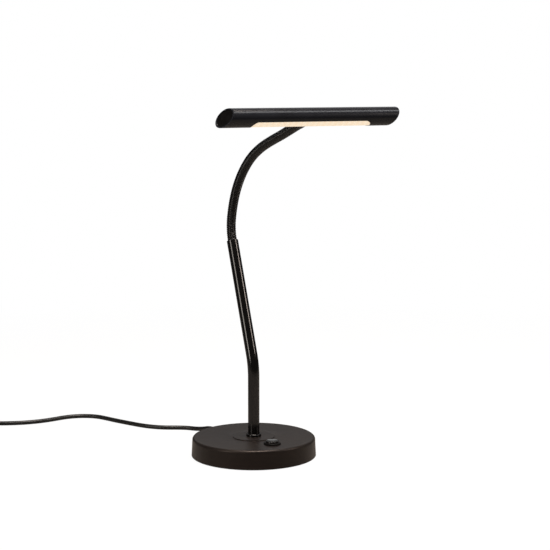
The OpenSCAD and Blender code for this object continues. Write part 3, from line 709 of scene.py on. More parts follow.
@dataclass
class Studio:
    """Camera, white room and lamps.

    The camera's place and the floor's near and far are in millimetres, the floor's size in
    metres.
    """

    eye: Triple = (-722.1, -1352.3, 388.7)
    azimuth: float = 28.93
    pitch: float = 7.383
    lens: float = 98.18
    sensor: float = 36.0
    clip: Pair = (0.05, 60.0)
    floor_size: float = 14.0
    ambient: float = 0.03
    mirrored: float = 0.05
    floor_glow: float = 0.92
    floor_near: float = 600.0
    floor_far: float = 1100.0
    floor_mirrored: str = "#8C8884"
    floor_bounce: str = "#5E5C5A"
    floor_shown: str = "#FAFAFA"

    def camera(self) -> None:
        """Adds the camera at the photograph's place."""
        turn, drop = math.radians(self.azimuth), math.radians(self.pitch)
        look = Vector(
            (math.sin(turn) * math.cos(drop), math.cos(turn) * math.cos(drop), -math.sin(drop))
        )
        data = bpy.data.cameras.new("camera")
        data.lens, data.sensor_width = self.lens, self.sensor
        data.clip_start, data.clip_end = self.clip
        camera = linked("camera", data)
        camera.location = Vector(self.eye) * MM
        camera.rotation_mode = "QUATERNION"
        camera.rotation_quaternion = look.to_track_quat("-Z", "Y")
        bpy.context.scene.camera = camera

    @staticmethod
    def seen_straight(tree: Tree) -> Tuple[bpy.types.Node, Socket]:
        """Tells what the camera sees, also through glass, from what only lights the lamp.

        Returns:
            The light path's node, and the output that is 1 for what the camera sees.
        """
        path = add(tree, "LightPath")
        shown = add(
            tree,
            "Math",
            {0: path.outputs["Is Camera Ray"], 1: path.outputs["Is Transmission Ray"]},
            operation="MAXIMUM",
        )
        return path, shown.outputs["Value"]

    def world(self) -> None:
        """Adds the world: white to the camera, a dark studio to what the gloss mirrors."""
        scene = bpy.context.scene
        scene.view_settings.view_transform = "Standard"
        world = bpy.data.worlds.new("white_room")
        scene.world = world
        world.use_nodes = True
        tree = world.node_tree
        tree.nodes.clear()
        path, shown = self.seen_straight(tree)
        seen = add(
            tree,
            "MapRange",
            {"Value": path.outputs["Is Glossy Ray"], "To Min": self.ambient, "To Max": self.mirrored},
        )
        level = add(tree, "Math", {0: shown, 1: seen.outputs["Result"]}, operation="MAXIMUM")
        light = add(tree, "Background", {"Color": (1, 1, 1, 1), "Strength": level.outputs["Value"]})
        add(tree, "OutputWorld", {"Surface": light.outputs["Background"]})

    def floor(self) -> None:
        """Adds the floor: plain white paper far off, and near the lamp with its shadow."""
        deselect()
        bpy.ops.mesh.primitive_plane_add(size=self.floor_size)
        floor = named("floor")
        paper = bpy.data.materials.new("white_paper")
        paper.use_nodes = True
        tree = paper.node_tree
        tree.nodes.clear()
        path, shown = self.seen_straight(tree)
        where = add(tree, "TexCoord").outputs["Object"]
        away = add(tree, "VectorMath", {0: where}, operation="LENGTH")
        glow = add(
            tree,
            "MapRange",
            {
                "Value": away.outputs["Value"],
                "From Min": self.floor_near * MM,
                "From Max": self.floor_far * MM,
                "To Min": self.floor_glow,
                "To Max": 1.0,
            },
        )
        share = add(tree, "Math", {0: shown, 1: glow.outputs["Result"]}, operation="MULTIPLY")
        # the gloss mirrors a grey floor, and the matt parts are lit by a darker one
        colour = linear(self.floor_mirrored)
        for seen_by, shade in (
            (path.outputs["Is Diffuse Ray"], self.floor_bounce),
            (shown, self.floor_shown),
        ):
            mix = add(tree, "Mix", {0: seen_by, 6: colour, 7: linear(shade)}, data_type="RGBA")
            colour = mix.outputs[2]
        matt = add(tree, "BsdfDiffuse", {"Color": colour})
        white = add(tree, "Emission", {"Color": (1, 1, 1, 1), "Strength": 1.0})
        both = add(
            tree,
            "MixShader",
            {0: share.outputs["Value"], 1: matt.outputs["BSDF"], 2: white.outputs["Emission"]},
        )
        add(tree, "OutputMaterial", {"Surface": both.outputs["Shader"]})
        floor.data.materials.append(paper)

    def lamps(self) -> None:
        """Adds the softboxes that draw the streaks on the tube, the head and the base."""
        near, far = 1.4, 2.4
        level = (1, 0, 0)
        # name, azimuth, height, size, radiance, distance and colour
        for box in (
            Softbox("left_strip", -80, 14, (0.36, 0.6), 7.5, near, "#FFF6EC"),
            Softbox("right_strip", 49, 24, (0.22, 0.3), 16.0, near, "#FFF0E4"),
            Softbox("top_panel", 10, 84, (0.84, 0.4), 22.0, near, "#FFF2E6", along=level),
            Softbox(
                "overhead_strip", 0, 71, (2.6, 0.3), 5.0, near, aim=(0, -114, 354), along=level
            ),
            Softbox("ceiling", -20, 75, (2.4, 2.4), 0.9, far, mirrored=False),
            Softbox("backdrop", 148, 32, (2.8, 1.6), 0.45, far),
        ):
            box.build()


# ---- cord ----------------------------------------------------------------------


@dataclass
class Flex:
    """The mains cord, its strain relief, coil, tie and plug."""

    diameter: float = 4.8
    length: float = 1801.0
    steps_along: int = 3
    steps_round: int = 5
    exit: Triple = (0.0, 87.0, 8.2)
    coil_middle: Pair = (-234.3, 247.2)
    coil_from: float = 63.5
    coil_inside: float = 21.4
    turn_pitch: float = 5.3
    layer_turns: int = 2
    layers: int = 4
    coil_steps: int = 24
    coil_height: float = 3.7
    tie_width: float = 6.0
    tie_thick: float = 0.9
    tie_gap: float = 0.4
    plug_at: Triple = (-272.0, 187.0, 6.9)
    plug_turn: float = -78.5
    plug_squareness: float = 0.55
    plug_long: float = 34.0
    pin_pitch: float = 18.6
    pin_long: float = 19.0
    pin_wide: float = 4.0
    # distance from the cord, half width, half thickness
    plug_sections: Tuple[Triple, ...] = (
        (0, 4.3, 4.0), (0.5, 4.5, 4.2), (4, 4.9, 4.4), (8, 5.6, 4.7), (11, 7.8, 5.3),
        (14, 11.2, 6.0), (17, 14.8, 6.6), (20, 17.2, 6.85), (22, 17.5, 6.9), (26, 17.5, 6.9),
        (28.5, 17.1, 6.9), (31.5, 15.4, 6.9), (33.4, 14.0, 6.9), (34, 13.2, 6.3),
    )
    route: Tuple[Triple, ...] = (
        (0, 87, 8.2), (0, 97, 8.2), (-0.4, 107, 6.8), (-2, 117.5, 4.3), (-5.5, 128, 2.6),
        (-12, 137, 2.4), (-22, 144, 2.4), (-33, 150.5, 2.4), (-43, 160, 2.4),
        (-51, 172, 2.4), (-57, 185, 2.4), (-63, 199, 2.4), (-68.5, 213, 2.4),
        (-73, 226, 2.4), (-78.5, 238, 2.4), (-88, 247.5, 2.4), (-100, 252.5, 2.4),
        (-113, 253, 2.4), (-126, 250.5, 2.4), (-139, 248.5, 2.4), (-152, 248.5, 2.4),
        (-165, 250.5, 2.4), (-177, 254.5, 2.4), (-188.5, 260, 2.4), (-199, 266.2, 2.9),
        (-209.6, 272.55, 3.7),
    )
    last_run: Tuple[Triple, ...] = (
        (-269.4, 254.65, 19.6), (-272.9, 245.7, 18.6), (-274.7, 236, 16.4),
        (-275.5, 226, 13.6), (-275.8, 216, 10.7), (-275.2, 206, 8.2),
        (-273.83, 196.01, 6.9), (-272, 187, 6.9),
    )

    def coil(self) -> List[Triple]:
        """The coil's centreline: in and out again, a layer up at each reversal."""
        points = []
        outside = self.coil_inside + self.layer_turns * self.turn_pitch
        reach = self.layer_turns * self.turn_pitch
        for k in range(int((self.layers * self.layer_turns + 0.25) * self.coil_steps) + 1):
            turns = k / self.coil_steps
            layer = min(int(turns / self.layer_turns), self.layers - 1)
            along = turns / self.layer_turns - layer
            radius = outside - along * reach if layer % 2 == 0 else self.coil_inside + along * reach
            angle = math.radians(self.coil_from + 360 * turns)
            rise = 0.0
            for step in range(1, self.layers):
                x = min(1.0, max(0.0, (turns - step * self.layer_turns) * 2 + 0.5))
                rise += self.turn_pitch * x * x * (3 - 2 * x)
            points.append(
                (
                    self.coil_middle[0] + radius * math.cos(angle),
                    self.coil_middle[1] + radius * math.sin(angle),
                    self.coil_height + rise,
                )
            )
        return points

    def build(self) -> None:
        points = [*self.route, *self.coil(), *self.last_run]
        data = bpy.data.curves.new("flex", "CURVE")
        data.dimensions = "3D"
        line = data.splines.new("BEZIER")
        line.bezier_points.add(len(points) - 1)
        for knot, place in zip(line.bezier_points, points):
            knot.co = Vector(place) * MM
            knot.handle_left_type = knot.handle_right_type = "AUTO"
        line.resolution_u = self.steps_along
        data.bevel_depth = self.diameter / 2 * MM
        data.bevel_resolution = self.steps_round
        data.use_fill_caps = True
        flex = linked("flex", data)
        stand_in(flex, PVC_SHEATH, "base", "cord", "cord_coil", "cord_end")
        relief, tie, plug, pins = self.relief(), self.tie(), self.plug(), self.pins()

    def relief(self) -> Mesh:
        """The tapered strain relief with four rings cut round it."""
        tip, root = 3.2, 4.5
        tip_at, root_at = self.exit[1], 65.3
        waist, flange, flange_from, flange_to = 4.0, 5.3, 60.7, 62.3
        ring_pitch, ring_wide, lip, round_off = 3.4, 1.2, 0.25, 0.12
        bore = self.diameter / 2 + 0.05

        def taper(y: float) -> float:
            """The radius of the tapered part at y."""
            return root + (tip - root) * (y - root_at) / (tip_at - root_at)

        outline = [(bore, flange_from), (flange - 0.2, flange_from), (flange, flange_from + 0.2)]
        outline += [(flange, flange_to), (waist, flange_to), (waist, root_at)]
        outline += [(root - 0.3, root_at), (root, root_at + 0.4)]
        for k in (4, 3, 2, 1):
            near, far = tip_at - ring_pitch * k - ring_wide, tip_at - ring_pitch * k
            floor = self.diameter / 2 + 0.9 + 0.18 * k
            outline += [
                (taper(near - lip), near - lip), (taper(near) - round_off, near),
                (floor, near + round_off), (floor, far - round_off),
                (taper(far) - round_off, far), (taper(far + lip), far + lip),
            ]
        outline += [(tip, tip_at - 0.6), (tip - 0.35, tip_at - 0.05), (bore, tip_at - 0.05)]
        piece = spun("cord_sleeve", ring(outline), sides=48)
        settle(piece, move(0, 0, self.exit[2]) @ turn_x(-90))
        return stand_in(smooth(piece), PVC_SHEATH, "base", "strain_relief")

    def tie(self) -> Mesh:
        """The strap round the coil: a flat band with rounded corners."""
        corner = 2.2
        inside = self.coil_inside + self.turn_pitch / 2 - self.diameter / 2 - self.tie_gap
        outside = (
            self.coil_inside
            + (self.layer_turns - 0.5) * self.turn_pitch
            + self.diameter / 2
            + self.tie_gap
        )
        tall = (self.layers - 1) * self.turn_pitch + self.diameter + 2 * self.tie_gap
        thick = self.tie_thick
        middle = (inside + outside) / 2
        deselect()
        bpy.ops.mesh.primitive_cube_add(size=MM)
        band = named("cord_strap")
        with editing(band):
            bpy.ops.transform.resize(
                value=(outside - inside + 2 * thick, self.tie_width, tall + 2 * thick)
            )
            pick(Element.EDGES, lambda p: abs(p.x) > 1 and abs(p.z) > 1)
            bpy.ops.mesh.bevel(offset=corner * MM, segments=6, affect="EDGES")
            pick(Element.FACES, lambda p: abs(p.y) > self.tie_width / 2 - 0.1)
            bpy.ops.mesh.inset(thickness=thick * MM, depth=0)
            bpy.ops.mesh.bridge_edge_loops()
            tidy()
        ease(band, 0.2, 60)
        place = (
            move(*self.coil_middle, 0)
            @ Matrix.Rotation(math.radians(self.coil_from + 180), 4, "Z")
            @ move(middle, 0, tall / 2 + thick)
        )
        settle(band, place)
        return stand_in(smooth(band), PVC_SHEATH, "base", "cord_tie")

    def at_plug(self) -> Matrix:
        """Where the plug's own axes lie: Z out along its pins, X across it."""
        return (
            move(*self.plug_at)
            @ Matrix.Rotation(math.radians(self.plug_turn), 4, "Z")
            @ Matrix.Rotation(math.radians(90), 4, "Y")
            @ Matrix.Rotation(math.radians(90), 4, "Z")
        )

    def plug(self) -> Mesh:
        """The flat plug, drawn out from its cord end section by section."""
        deselect()
        bpy.ops.mesh.primitive_circle_add(vertices=48, radius=MM)
        piece = named("plug_shell")
        with editing(piece):
            shape = bmesh.from_edit_mesh(piece.data)
            for vertex in shape.verts:
                # a squarish oval, as moulded plugs have
                for axis in (0, 1):
                    share = vertex.co[axis] / MM
                    squared = abs(share) ** self.plug_squareness
                    vertex.co[axis] = math.copysign(squared, share) * MM
            bmesh.update_edit_mesh(piece.data)
            wide, thick, at = 1.0, 1.0, 0.0
            for k, (along, half, height) in enumerate(self.plug_sections):
                if k:
                    draw_out(0, 0, (along - at) * MM)
                bpy.ops.transform.resize(value=(half / wide, height / thick, 1))
                wide, thick, at = half, height, along
            bpy.ops.mesh.edge_face_add()
            pick(Element.VERTICES, lambda p: p.z < 0.01)
            bpy.ops.mesh.edge_face_add()
            tidy()
        settle(piece, self.at_plug())
        return stand_in(smooth(piece, 50), PVC_SHEATH, "base", "plug_body")

    def pins(self) -> Mesh:
        """Two round-nosed pins with plastic sleeves on the half next to the plug."""
        radius, root, sleeve = self.pin_wide / 2, -3, 9.9
        outline = [(0, root), (radius - 0.05, root), (radius - 0.05, 9.8), (radius, 10)]
        outline += [(radius, self.pin_long - 1.2), (radius - 0.25, self.pin_long - 0.5)]
        outline += [(radius - 0.7, self.pin_long), (0, self.pin_long)]
        first = spun("plug_prongs", outline, sides=32)
        first.data.materials.append(NICKEL.material())
        first.data.materials.append(MATT_ABS.material())
        for face in first.data.polygons:
            face.material_index = 1 if face.center.z < sleeve * MM else 0
        second = copied(first, "second_prong")
        settle(first, self.at_plug() @ move(-self.pin_pitch / 2, 0, self.plug_long))
        settle(second, self.at_plug() @ move(self.pin_pitch / 2, 0, self.plug_long))
        focus(first)
        second.select_set(True)
        bpy.ops.object.join()
        smooth(first)
        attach(first, "base")
        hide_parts("plug_pins")
        log.info("%s on base, for plug_pins", first.name)
        return first


# ---- base ----------------------------------------------------------------------


@dataclass
class Base:
    """Painted cover, foot, collar and the push switch let into the top.

    The rings are radii that only part the flat stretches of the cover into shorter faces.
    """

    foot_radius: float = 65.0
    height: float = 20.5
    draft: float = 0.8
    edge: float = 3.0
    wall: float = 1.6
    rim: float = 0.7
    groove_radius: float = 22.5
    groove_wide: float = 0.6
    groove_deep: float = 0.5
    run_down: float = 4.2
    disc_proud: float = 0.3
    top_rings: Triple = (54, 44, 34)
    disc_rings: Pair = (16, 9)
    under_rings: Triple = (16, 30, 46)
    tube_hole: float = 5.2
    pad_radius: float = 61.0
    pad_thick: float = 1.2
    boss_radius: float = 54.5
    boss_outside: float = 3.5
    boss_bore: float = 1.5
    boss_foot: float = 2.7
    boss_turns: Triple = (0, 120, 240)
    exit_height: float = 8.2
    exit_radius: float = 4.1
    switch_at: float = 40.0
    switch_hole: float = 8.0
    switch_radius: float = 7.9
    switch_depth: float = 11.5
    switch_floor: float = 1.2
    flange_radius: float = 8.8
    flange_thick: float = 2.0
    button_radius: float = 6.6
    button_gap: float = 0.05
    button_up: float = 3.8
    button_skirt: float = 4.0
    button_edge: float = 0.45
    dish_radius: float = 40.0
    dish_open: float = 5.9
    collar_radius: float = 7.9
    collar_tall: float = 3.0
    tube_radius: float = 6.0

    def cover(self) -> Mesh:
        """The pressed cover with its turned groove, its holes and its screw bosses."""
        top = self.foot_radius - self.draft
        inner = top - self.wall
        ceiling = self.height - self.wall
        corner = self.edge - self.wall + 0.4
        high, low = self.height, self.height - self.groove_deep
        far, near = self.groove_radius, self.groove_radius - self.groove_wide
        outline = [(self.foot_radius - 0.35, self.rim), (self.foot_radius, self.rim + 0.35)]
        outline += [
            (self.foot_radius - self.draft * t, self.rim + (high - self.edge - self.rim) * t)
            for t in (0.35, 0.7)
        ]
        outline += arc((top - self.edge, high - self.edge), self.edge, 0, 90, 10)
        # the coat sinks a little towards the groove, and the disc inside it stands proud,
        # so that the groove's inner wall shows as a line from the low eye of a sitter
        disc = high + self.disc_proud
        outline += [(r, high) for r in (*self.top_rings, far + self.run_down)]
        outline += [(far + 0.15, low + 0.03), (far - 0.08, low), (near + 0.08, low)]
        outline += [(near, low + 0.05), (near - 0.03, disc - 0.06), (near - 0.14, disc)]
        outline += [(r, disc) for r in (*self.disc_rings, self.tube_hole)]
        outline += [(r, ceiling) for r in (self.tube_hole, *self.under_rings)]
        outline += arc((inner - corner, ceiling - corner), corner, 90, 0, 5)
        outline += [(inner, ceiling / 2), (inner, self.rim)]
        piece = spun("base_cover", ring(outline), sides=144)
        start, end = self.height - 3.5, self.height + 2.5
        at_switch = move(0, -self.switch_at, 0)
        cut(piece, self.rod("switch_cutter", self.switch_hole, start, end, at_switch))
        cut(
            piece,
            self.rod(
                "exit_cutter",
                self.exit_radius,
                inner - 2,
                self.foot_radius + 2,
                move(0, 0, self.exit_height) @ turn_x(-90),
            ),
        )
        for turn in self.boss_turns:
            boss = spun(
                "boss",
                ring([
                    (self.boss_bore, self.boss_foot), (self.boss_outside, self.boss_foot),
                    (self.boss_outside, ceiling + 0.5), (self.boss_bore, ceiling + 0.5),
                ]),
                sides=32,
            )
            spot = Matrix.Rotation(math.radians(turn), 4, "Z") @ move(self.boss_radius, 0, 0)
            cut(piece, settle(boss, spot), Cut.ADD)
        return stand_in(smooth(piece, 28), POWDER_COAT, "base", "base_shell")

    @staticmethod
    def rod(name: str, radius: float, low: float, high: float, place: Matrix) -> Mesh:
        """A closed round rod that cuts a hole."""
        rod = spun(name, [(0, low), (radius, low), (radius, high), (0, high)], sides=64)
        return settle(rod, place)

    def foot(self) -> Mesh:
        """The foam foot under the plate, its cut edge slightly eased."""
        radius, thick = self.pad_radius, self.pad_thick
        outline = [(0, 0), (20, 0), (40, 0), (radius - 0.3, 0), (radius, 0.3)]
        outline += [(radius, thick - 0.2), (radius - 0.2, thick), (30, thick), (0, thick)]
        piece = spun("foam_foot", outline)
        return stand_in(smooth(piece), EVA_FOAM, "base", "foot_pad")

    def collar(self) -> Mesh:
        """The turned ring round the tube's foot."""
        z, top = self.height, self.height + self.collar_tall
        inside = self.tube_radius + 0.05
        outline = [(inside, z), (self.collar_radius - 0.15, z), (self.collar_radius, z + 0.15)]
        outline += arc((self.collar_radius - 1, top - 1), 1, 0, 90, 6)
        outline += [(inside + 0.3, top), (inside, top - 0.3)]
        piece = spun("foot_ring", ring(outline), sides=72)
        return stand_in(smooth(piece), GLOSS_ENAMEL, "base", "tube_collar")

    def switch(self) -> Mesh:
        """The switch body, whose bevelled flange lies on the cover."""
        z, edge = self.height, self.flange_radius
        top, under = z + self.flange_thick, z - self.switch_depth
        bore = self.button_radius + self.button_gap
        floor = under + self.switch_floor
        outline = [(self.switch_radius, z), (edge, z), (edge, top - 1.1), (edge - 0.1, top - 0.92)]
        outline += [(edge - 0.92, top - 0.1), (edge - 1.1, top)]
        outline += [(bore + 0.15, top), (bore, top - 0.15), (bore, floor), (0, floor)]
        outline += [(0, under), (self.switch_radius, under)]
        piece = spun("switch_ring", ring(outline), sides=72)
        settle(piece, move(0, -self.switch_at, 0))
        return stand_in(smooth(piece), MATT_ABS, "base", "switch_body")

    def button(self) -> Mesh:
        """The push button with its dished top."""
        z, r = self.height, self.button_radius
        top = z + self.button_up
        sweep = math.degrees(math.asin(self.dish_open / self.dish_radius))
        dish = top + math.sqrt(self.dish_radius**2 - self.dish_open**2)
        outline = [(0, z - 1), (r - 1.5, z - 1), (r - 1.5, z - self.button_skirt)]
        outline += [(r, z - self.button_skirt)]
        outline += arc((r - self.button_edge, top - self.button_edge), self.button_edge, 0, 90)
        outline += [(self.dish_open + 0.2, top)]
        outline += arc((0, dish), self.dish_radius, sweep - 90, -90, 8)
        piece = spun("push_button", ring(outline), sides=72)
        settle(piece, move(0, -self.switch_at, 0))
        return stand_in(smooth(piece), GLOSS_ABS, "button", "switch_button")

    def build(self) -> None:
        """Builds every piece of the base."""
        self.cover()
        self.foot()
        self.collar()
        self.switch()
        self.button()


# ---- tube and neck -------------------------------------------------------------


@dataclass
class Stem:
    """The bent tube: upright, a bend, then leaning back."""

    radius: float = 6.0
    wall: float = 1.1
    foot: float = 20.5
    corner: float = 95.0
    bend_radius: float = 70.0
    lean: float = 20.4
    upper_run: float = 135.0

    @property
    def mouth(self) -> Pair:
        """The middle of the tube's upper end, as y and z."""
        lean = math.radians(self.lean)
        return self.upper_run * math.sin(lean), self.corner + self.upper_run * math.cos(lean)

    def build(self) -> Mesh:
        """Draws the tube out along its path, and gives it its wall."""
        lean = math.radians(self.lean)
        before = self.bend_radius * math.tan(lean / 2)
        run = (self.upper_run - before) * MM
        deselect()
        bpy.ops.mesh.primitive_circle_add(
            vertices=72, radius=self.radius * MM, location=(0, 0, self.foot * MM)
        )
        piece = settle(named("stem"))
        with editing(piece):
            draw_out(0, 0, (self.corner - before - self.foot) * MM)
            bpy.ops.mesh.spin(
                steps=24,
                angle=lean,
                center=(0, self.bend_radius * MM, (self.corner - before) * MM),
                axis=(1, 0, 0),
            )
            draw_out(0, run * math.sin(lean), run * math.cos(lean))
            tidy()
        modify(piece, "SOLIDIFY", thickness=self.wall * MM, offset=-1, use_even_offset=True)
        ease(piece, 0.3, 60)
        return stand_in(smooth(piece), GLOSS_ENAMEL, "base", "stem_tube")


@dataclass
class Neck:
    """The flexible neck: a ribbed winding on an arched path, split between its joints.

    bends are the angles that the nine lengths turn through, in degrees. rib_shares are the
    places of a rib's points along its pitch, close together where it curves most.
    """

    mouth: Pair
    lean: float
    bends: Tuple[float, ...] = (31.2, 13, 14.5, 12, 12.6, 8, 2.5, -2.3, 0.1)
    part: float = 23.4
    pitch: float = 1.95
    crest: float = 4.95
    groove: float = 0.65
    rib_shares: Tuple[float, ...] = (0, 0.1, 0.28, 0.5, 0.72, 0.9, 1)
    spare_turns: int = 2
    bore: float = 2.7
    seat: float = 12.0
    seat_radius: float = 4.8
    seat_overlap: float = 0.6
    sides: int = 40
    turn_reach: float = 8.0

    @property
    def length(self) -> float:
        """The neck's length from the tube's mouth."""
        return self.part * len(self.bends)

    @staticmethod
    def step(length: float, start: float, end: float) -> Vector:
        """The move along an arc that turns from one angle to another, in degrees."""
        a, b = math.radians(start), math.radians(end)
        if abs(b - a) < 1e-4:
            return Vector((-math.sin(a), math.cos(a))) * length
        return Vector((math.cos(b) - math.cos(a), math.sin(b) - math.sin(a))) * length / (b - a)

    def turn(self, s: float) -> float:
        """The neck's angle from upright towards the front, s mm past the mouth."""
        s = min(max(s, 0.0), self.length)
        part = min(int(s / self.part), len(self.bends) - 1)
        return sum(self.bends[:part]) + self.bends[part] * (s / self.part - part) - self.lean

    def at(self, s: float) -> Vector:
        """The neck's axis at s, as y and z."""
        place = Vector(self.mouth)
        if s <= 0:
            return place + self.step(s, -self.lean, -self.lean)
        done = 0.0
        while done < s:
            length = min(self.part, s - done) if done < self.length else s - done
            place += self.step(length, self.turn(done), self.turn(done + length))
            done += length
        return place

    def bend(self, piece: Mesh) -> Mesh:
        """Moves a straight piece, drawn along Z, onto the neck's path."""
        known: Dict[float, Tuple[Vector, float]] = {}
        for vertex in piece.data.vertices:
            x, y, s = vertex.co / MM
            key = round(s, 4)
            if key not in known:
                known[key] = (self.at(key), math.radians(self.turn(key)))
            place, angle = known[key]
            vertex.co = Vector((x, place.x + y * math.cos(angle), place.y + y * math.sin(angle))) * MM
        piece.data.update()
        return piece

    def winding(self) -> Mesh:
        """One long winding with a round rib, drawn along Z past both ends."""
        valley = self.crest - self.groove
        rib = [
            (
                valley + self.groove * math.sqrt(max(0.0, 1 - (2 * share - 1) ** 2)),
                self.pitch * (share - self.spare_turns),
            )
            for share in self.rib_shares
        ]
        piece = drawn("winding", rib)
        modify(
            piece,
            "SCREW",
            axis="Z",
            angle=math.tau,
            screw_offset=self.pitch * MM,
            iterations=int(self.length / self.pitch) + 2 * self.spare_turns,
            steps=self.sides,
            render_steps=self.sides,
            use_merge_vertices=False,
        )
        with editing(piece):
            tidy()
        return piece

    def build(self) -> None:
        """Cuts the winding at the middle of each length, so that one piece covers each joint, and
        lays each piece on the path.
        """
        winding = self.winding()
        for joint in range(1, len(self.bends)):
            first, last = joint == 1, joint == len(self.bends) - 1
            low = 0.0 if first else (joint - 0.5) * self.part
            high = self.length if last else (joint + 0.5) * self.part
            piece = copied(winding, f"neck_ribs_{joint}")
            slice_off(piece, Vector((0, 0, low)), Vector((0, 0, -1)))
            slice_off(piece, Vector((0, 0, high)), Vector((0, 0, 1)))
            with editing(piece):
                tidy()
            if first:
                foot, head = -self.seat, self.seat_overlap
                shank = [(0, foot), (self.seat_radius - 0.3, foot), (self.seat_radius, foot + 0.3)]
                shank += [(self.seat_radius, s) for s in spaced(-8, head, 4)] + [(0, head)]
                cut(piece, spun("shank", shank, self.sides), Cut.ADD)
            start = -self.seat - 1 if first else low - 1
            bore = [(0, start)] + [(self.bore, s) for s in spaced(start, high + 1, 3)]
            cut(piece, spun("bore", bore + [(0, high + 1)], sides=24))
            self.bend(piece)
            smooth(piece, 40, weighted=False)
            finish_piece(piece, BLACK_PLATE)
            s = joint * self.part
            ends = [self.at(s - self.turn_reach), self.at(s + self.turn_reach)]
            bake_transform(piece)
            stands_for = [f"gooseneck_{joint}"] + ([f"gooseneck_{joint + 1}"] if last else [])
            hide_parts(*stands_for)
            log.info("%s over joint %d, for %s", piece.name, joint, ", ".join(stands_for))
        bpy.data.objects.remove(winding)


# ---- head ----------------------------------------------------------------------


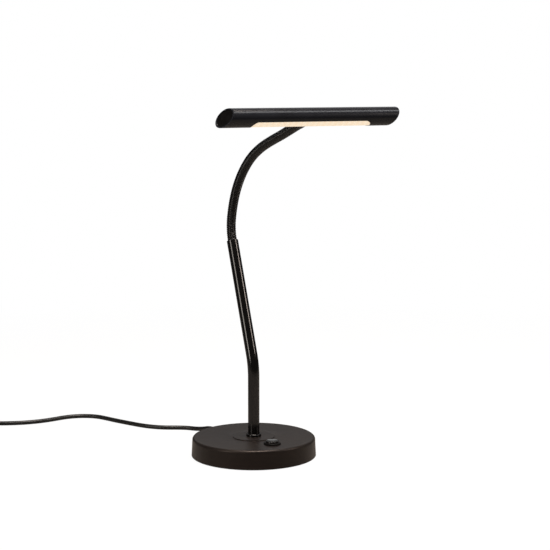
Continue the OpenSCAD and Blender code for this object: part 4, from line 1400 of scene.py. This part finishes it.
@dataclass
class Head:
    """The light head: a tube with sloping ends and a lit window along its underside.

    below is a height under the head, in its own axes, that the window's cutters start from.
    """

    middle: Pair = (-114.36, 354.391)
    rise: float = 18.8
    radius: float = 9.1
    wall: float = 1.1
    long: float = 182.0
    mitre: float = 34.0
    mitre_way: float = 54.0
    window_long: float = 130.0
    window_wide: float = 12.6
    below: float = -14.0
    cap_inset: float = 0.4
    cap_thick: float = 1.2
    glass_radius: float = 7.95
    glass_thick: float = 1.3
    glass_out: float = 0.3
    window_gap: float = 0.15
    lip_height: float = -4.15
    lip_end: float = 1.2
    ferrule_long: float = 12.4
    ferrule_radius: float = 5.2
    spigot_radius: float = 3.0
    spigot_bore: float = 1.7
    spigot_from: float = 2.9
    watts: float = 0.45
    light_colour: str = "#FFE4C8"

    @property
    def place(self) -> Matrix:
        """Where the head's own axes lie: x along it, y back to the neck, z to its top."""
        return move(0, *self.middle) @ turn_x(-self.rise)

    @property
    def slope(self) -> Vector:
        """The normal of both end planes, in the head's own axes."""
        tip, way = math.radians(self.mitre), math.radians(self.mitre_way)
        return Vector(
            (math.cos(tip), math.sin(tip) * math.sin(way), -math.sin(tip) * math.cos(way))
        )

    def rod(self, name: str, radius: float, long: float, sides: int = 96) -> Mesh:
        """A round solid rod along the head's own x axis."""
        half = long / 2
        outline = [(0, -half)] + [(radius, s) for s in spaced(-half, half, 9)] + [(0, half)]
        piece = spun(name, outline, sides)
        return settle(piece, Matrix.Rotation(math.radians(90), 4, "Y"))

    def slot(self, name: str, long: float, wide: float, low: float, high: float) -> Mesh:
        """A solid with the window's outline: straight sides and round ends."""
        deselect()
        bpy.ops.mesh.primitive_circle_add(
            vertices=66, radius=wide / 2 * MM, fill_type="NGON", location=(0, 0, low * MM)
        )
        piece = settle(named(name))
        reach = (long - wide) / 2 * MM
        with editing(piece):
            pick(Element.VERTICES, lambda p: p.x > 0)
            bpy.ops.transform.translate(value=(reach, 0, 0))
            pick(Element.VERTICES, lambda p: p.x < 0)
            bpy.ops.transform.translate(value=(-reach, 0, 0))
            bpy.ops.mesh.select_all(action="SELECT")
            draw_out(0, 0, (high - low) * MM)
            tidy()
        return piece

    def shell(self) -> Mesh:
        """The head's tube with its sloping ends, its window and the neck's hole."""
        piece = self.rod("head_tube", self.radius, self.long + 4 * self.radius, 128)
        for side in (-1, 1):
            slice_off(piece, Vector((side * self.long / 2, 0, 0)), side * self.slope)
        cut(piece, self.rod("hollow", self.radius - self.wall, self.long + 8 * self.radius, 128))
        cut(piece, self.slot("window", self.window_long, self.window_wide, self.below, 0))
        cut(piece, Base.rod("neck_hole", self.spigot_radius + 0.1, 5, 12, turn_x(-90)))
        ease(piece, 0.25, 50)
        settle(piece, self.place)
        return stand_in(smooth(piece), PAINTED_ALUMINIUM, "head", "head_shell")

    def cap(self, side: int, name: str, node: str) -> Mesh:
        """One end plate, set a little inside the tube's sloping end."""
        piece = self.rod(name, self.glass_radius, self.long + 4 * self.radius, 96)
        half, tip = self.long / 2, math.cos(math.radians(self.mitre))
        near = Vector((side * (half - self.cap_inset / tip), 0, 0))
        far = Vector((side * (half - (self.cap_inset + self.cap_thick) / tip), 0, 0))
        slice_off(piece, near, side * self.slope)
        slice_off(piece, far, -side * self.slope)
        ease(piece, 0.12, 50)
        settle(piece, self.place)
        return stand_in(smooth(piece), MATT_ABS, "head", node)

    def diffuser(self) -> Mesh:
        """The opal trough that fills the window from inside."""
        trough = self.rod("opal_trough", self.glass_radius, self.window_long + 2 * self.lip_end)
        fill = self.slot(
            "fill",
            self.window_long - 2 * self.window_gap,
            self.window_wide - 2 * self.window_gap,
            self.below,
            -1,
        )
        cut(fill, self.rod("round", self.radius - self.glass_out, self.window_long), Cut.KEEP_COMMON)
        cut(trough, fill, Cut.ADD)
        inside = self.glass_radius - self.glass_thick
        cut(trough, self.rod("inside", inside, self.window_long + 4 * self.lip_end))
        slice_off(trough, Vector((0, 0, self.lip_height)), Vector((0, 0, 1)))
        with editing(trough):
            tidy()
        settle(trough, self.place)
        return stand_in(smooth(trough), OPAL, "head", "diffuser")

    def ferrule(self) -> Mesh:
        """The turned ferrule, saddled to the head, with its hollow spigot."""
        end = self.radius + self.ferrule_long
        r, bore = self.ferrule_radius, self.spigot_bore
        outline = [(bore, self.radius - 2), (r, self.radius - 2), (r, end - 0.45)]
        outline += arc((r - 0.45, end - 0.45), 0.45, 15, 90, 4) + [(bore, end)]
        piece = settle(spun("neck_ferrule", ring(outline), sides=64), turn_x(-90))
        cut(piece, self.rod("saddle", self.radius + 0.02, 24))
        spigot = [(bore, self.spigot_from), (self.spigot_radius, self.spigot_from)]
        spigot += [(self.spigot_radius, 14), (bore, 14)]
        cut(piece, settle(spun("spigot", ring(spigot), sides=64), turn_x(-90)), Cut.ADD)
        settle(piece, self.place)
        return stand_in(smooth(piece), BLACK_PLATE, "head", "head_ferrule")

    def light(self, body: bpy.types.Object) -> None:
        """The light that leaves the window, warm, and carried by the head."""
        size = ((self.window_long - 8) * MM, (self.window_wide - 3) * MM)
        lamp = flat_light("window_light", size, self.watts, self.light_colour, mirrored=False)
        bpy.context.view_layer.update()
        lamp.parent = body
        lamp.matrix_world = self.place @ move(0, 0, -self.radius - 0.6)

    def build(self) -> None:
        """Builds every piece of the head."""
        self.shell()
        self.cap(-1, "end_plate_left", "end_cap_left")
        self.cap(1, "end_plate_right", "end_cap_right")
        self.diffuser()
        self.ferrule()


# ---- what stays from the frame -------------------------------------------------

INNER_LOOKS: Dict[Finish, Tuple[str, ...]] = {
    CAST_IRON: ("base_weight",),
    ZINC_STEEL: (
        "base_plate", "base_screws", "tube_nipple", "tube_washer", "tube_nut",
        "terminal_screws", "clamp_screws", "neck_bush", "head_washer", "head_nut",
    ),
    MILL_ALUMINIUM: ("led_carrier",),
    STAMPED_BRASS: ("switch_contacts",),
    MATT_ABS: ("cord_clamp", "driver_parts"),
    POLYAMIDE: ("driver_case", "terminal_block"),
    GREEN_BOARD: ("driver_board",),
    WHITE_BOARD: ("led_board",),
    PHOSPHOR: ("led_chips",),
    PVC_SHEATH: ("cord_inside", "base_wires"),
    PVC_LEAD: ("stem_lead", "head_lead", *[f"neck_lead_{k}" for k in range(1, 10)]),
}


def dress_inside(nodes: Dict[str, Mesh]) -> None:
    """Gives the pieces inside the lamp, kept as the frame has them, their materials."""
    for look, names in INNER_LOOKS.items():
        for name in names:
            data = nodes[name].data
            data.materials.clear()
            data.materials.append(look.material())
            log.info("%s: %s", name, look.name)


def main() -> None:
    """Builds the lamp around its frame."""
    logging.basicConfig(level=logging.INFO, format="%(name)s: %(message)s")
    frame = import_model()
    studio = Studio()
    studio.camera()
    Flex().build()
    Base().build()
    stem = Stem()
    stem.build()
    Neck(stem.mouth, stem.lean).build()
    head = Head()
    head.build()
    head.light(frame["bodies"]["head"])
    dress_inside(frame["nodes"])
    studio.world()
    studio.floor()
    studio.lamps()


if __name__ == "__main__":
    main()
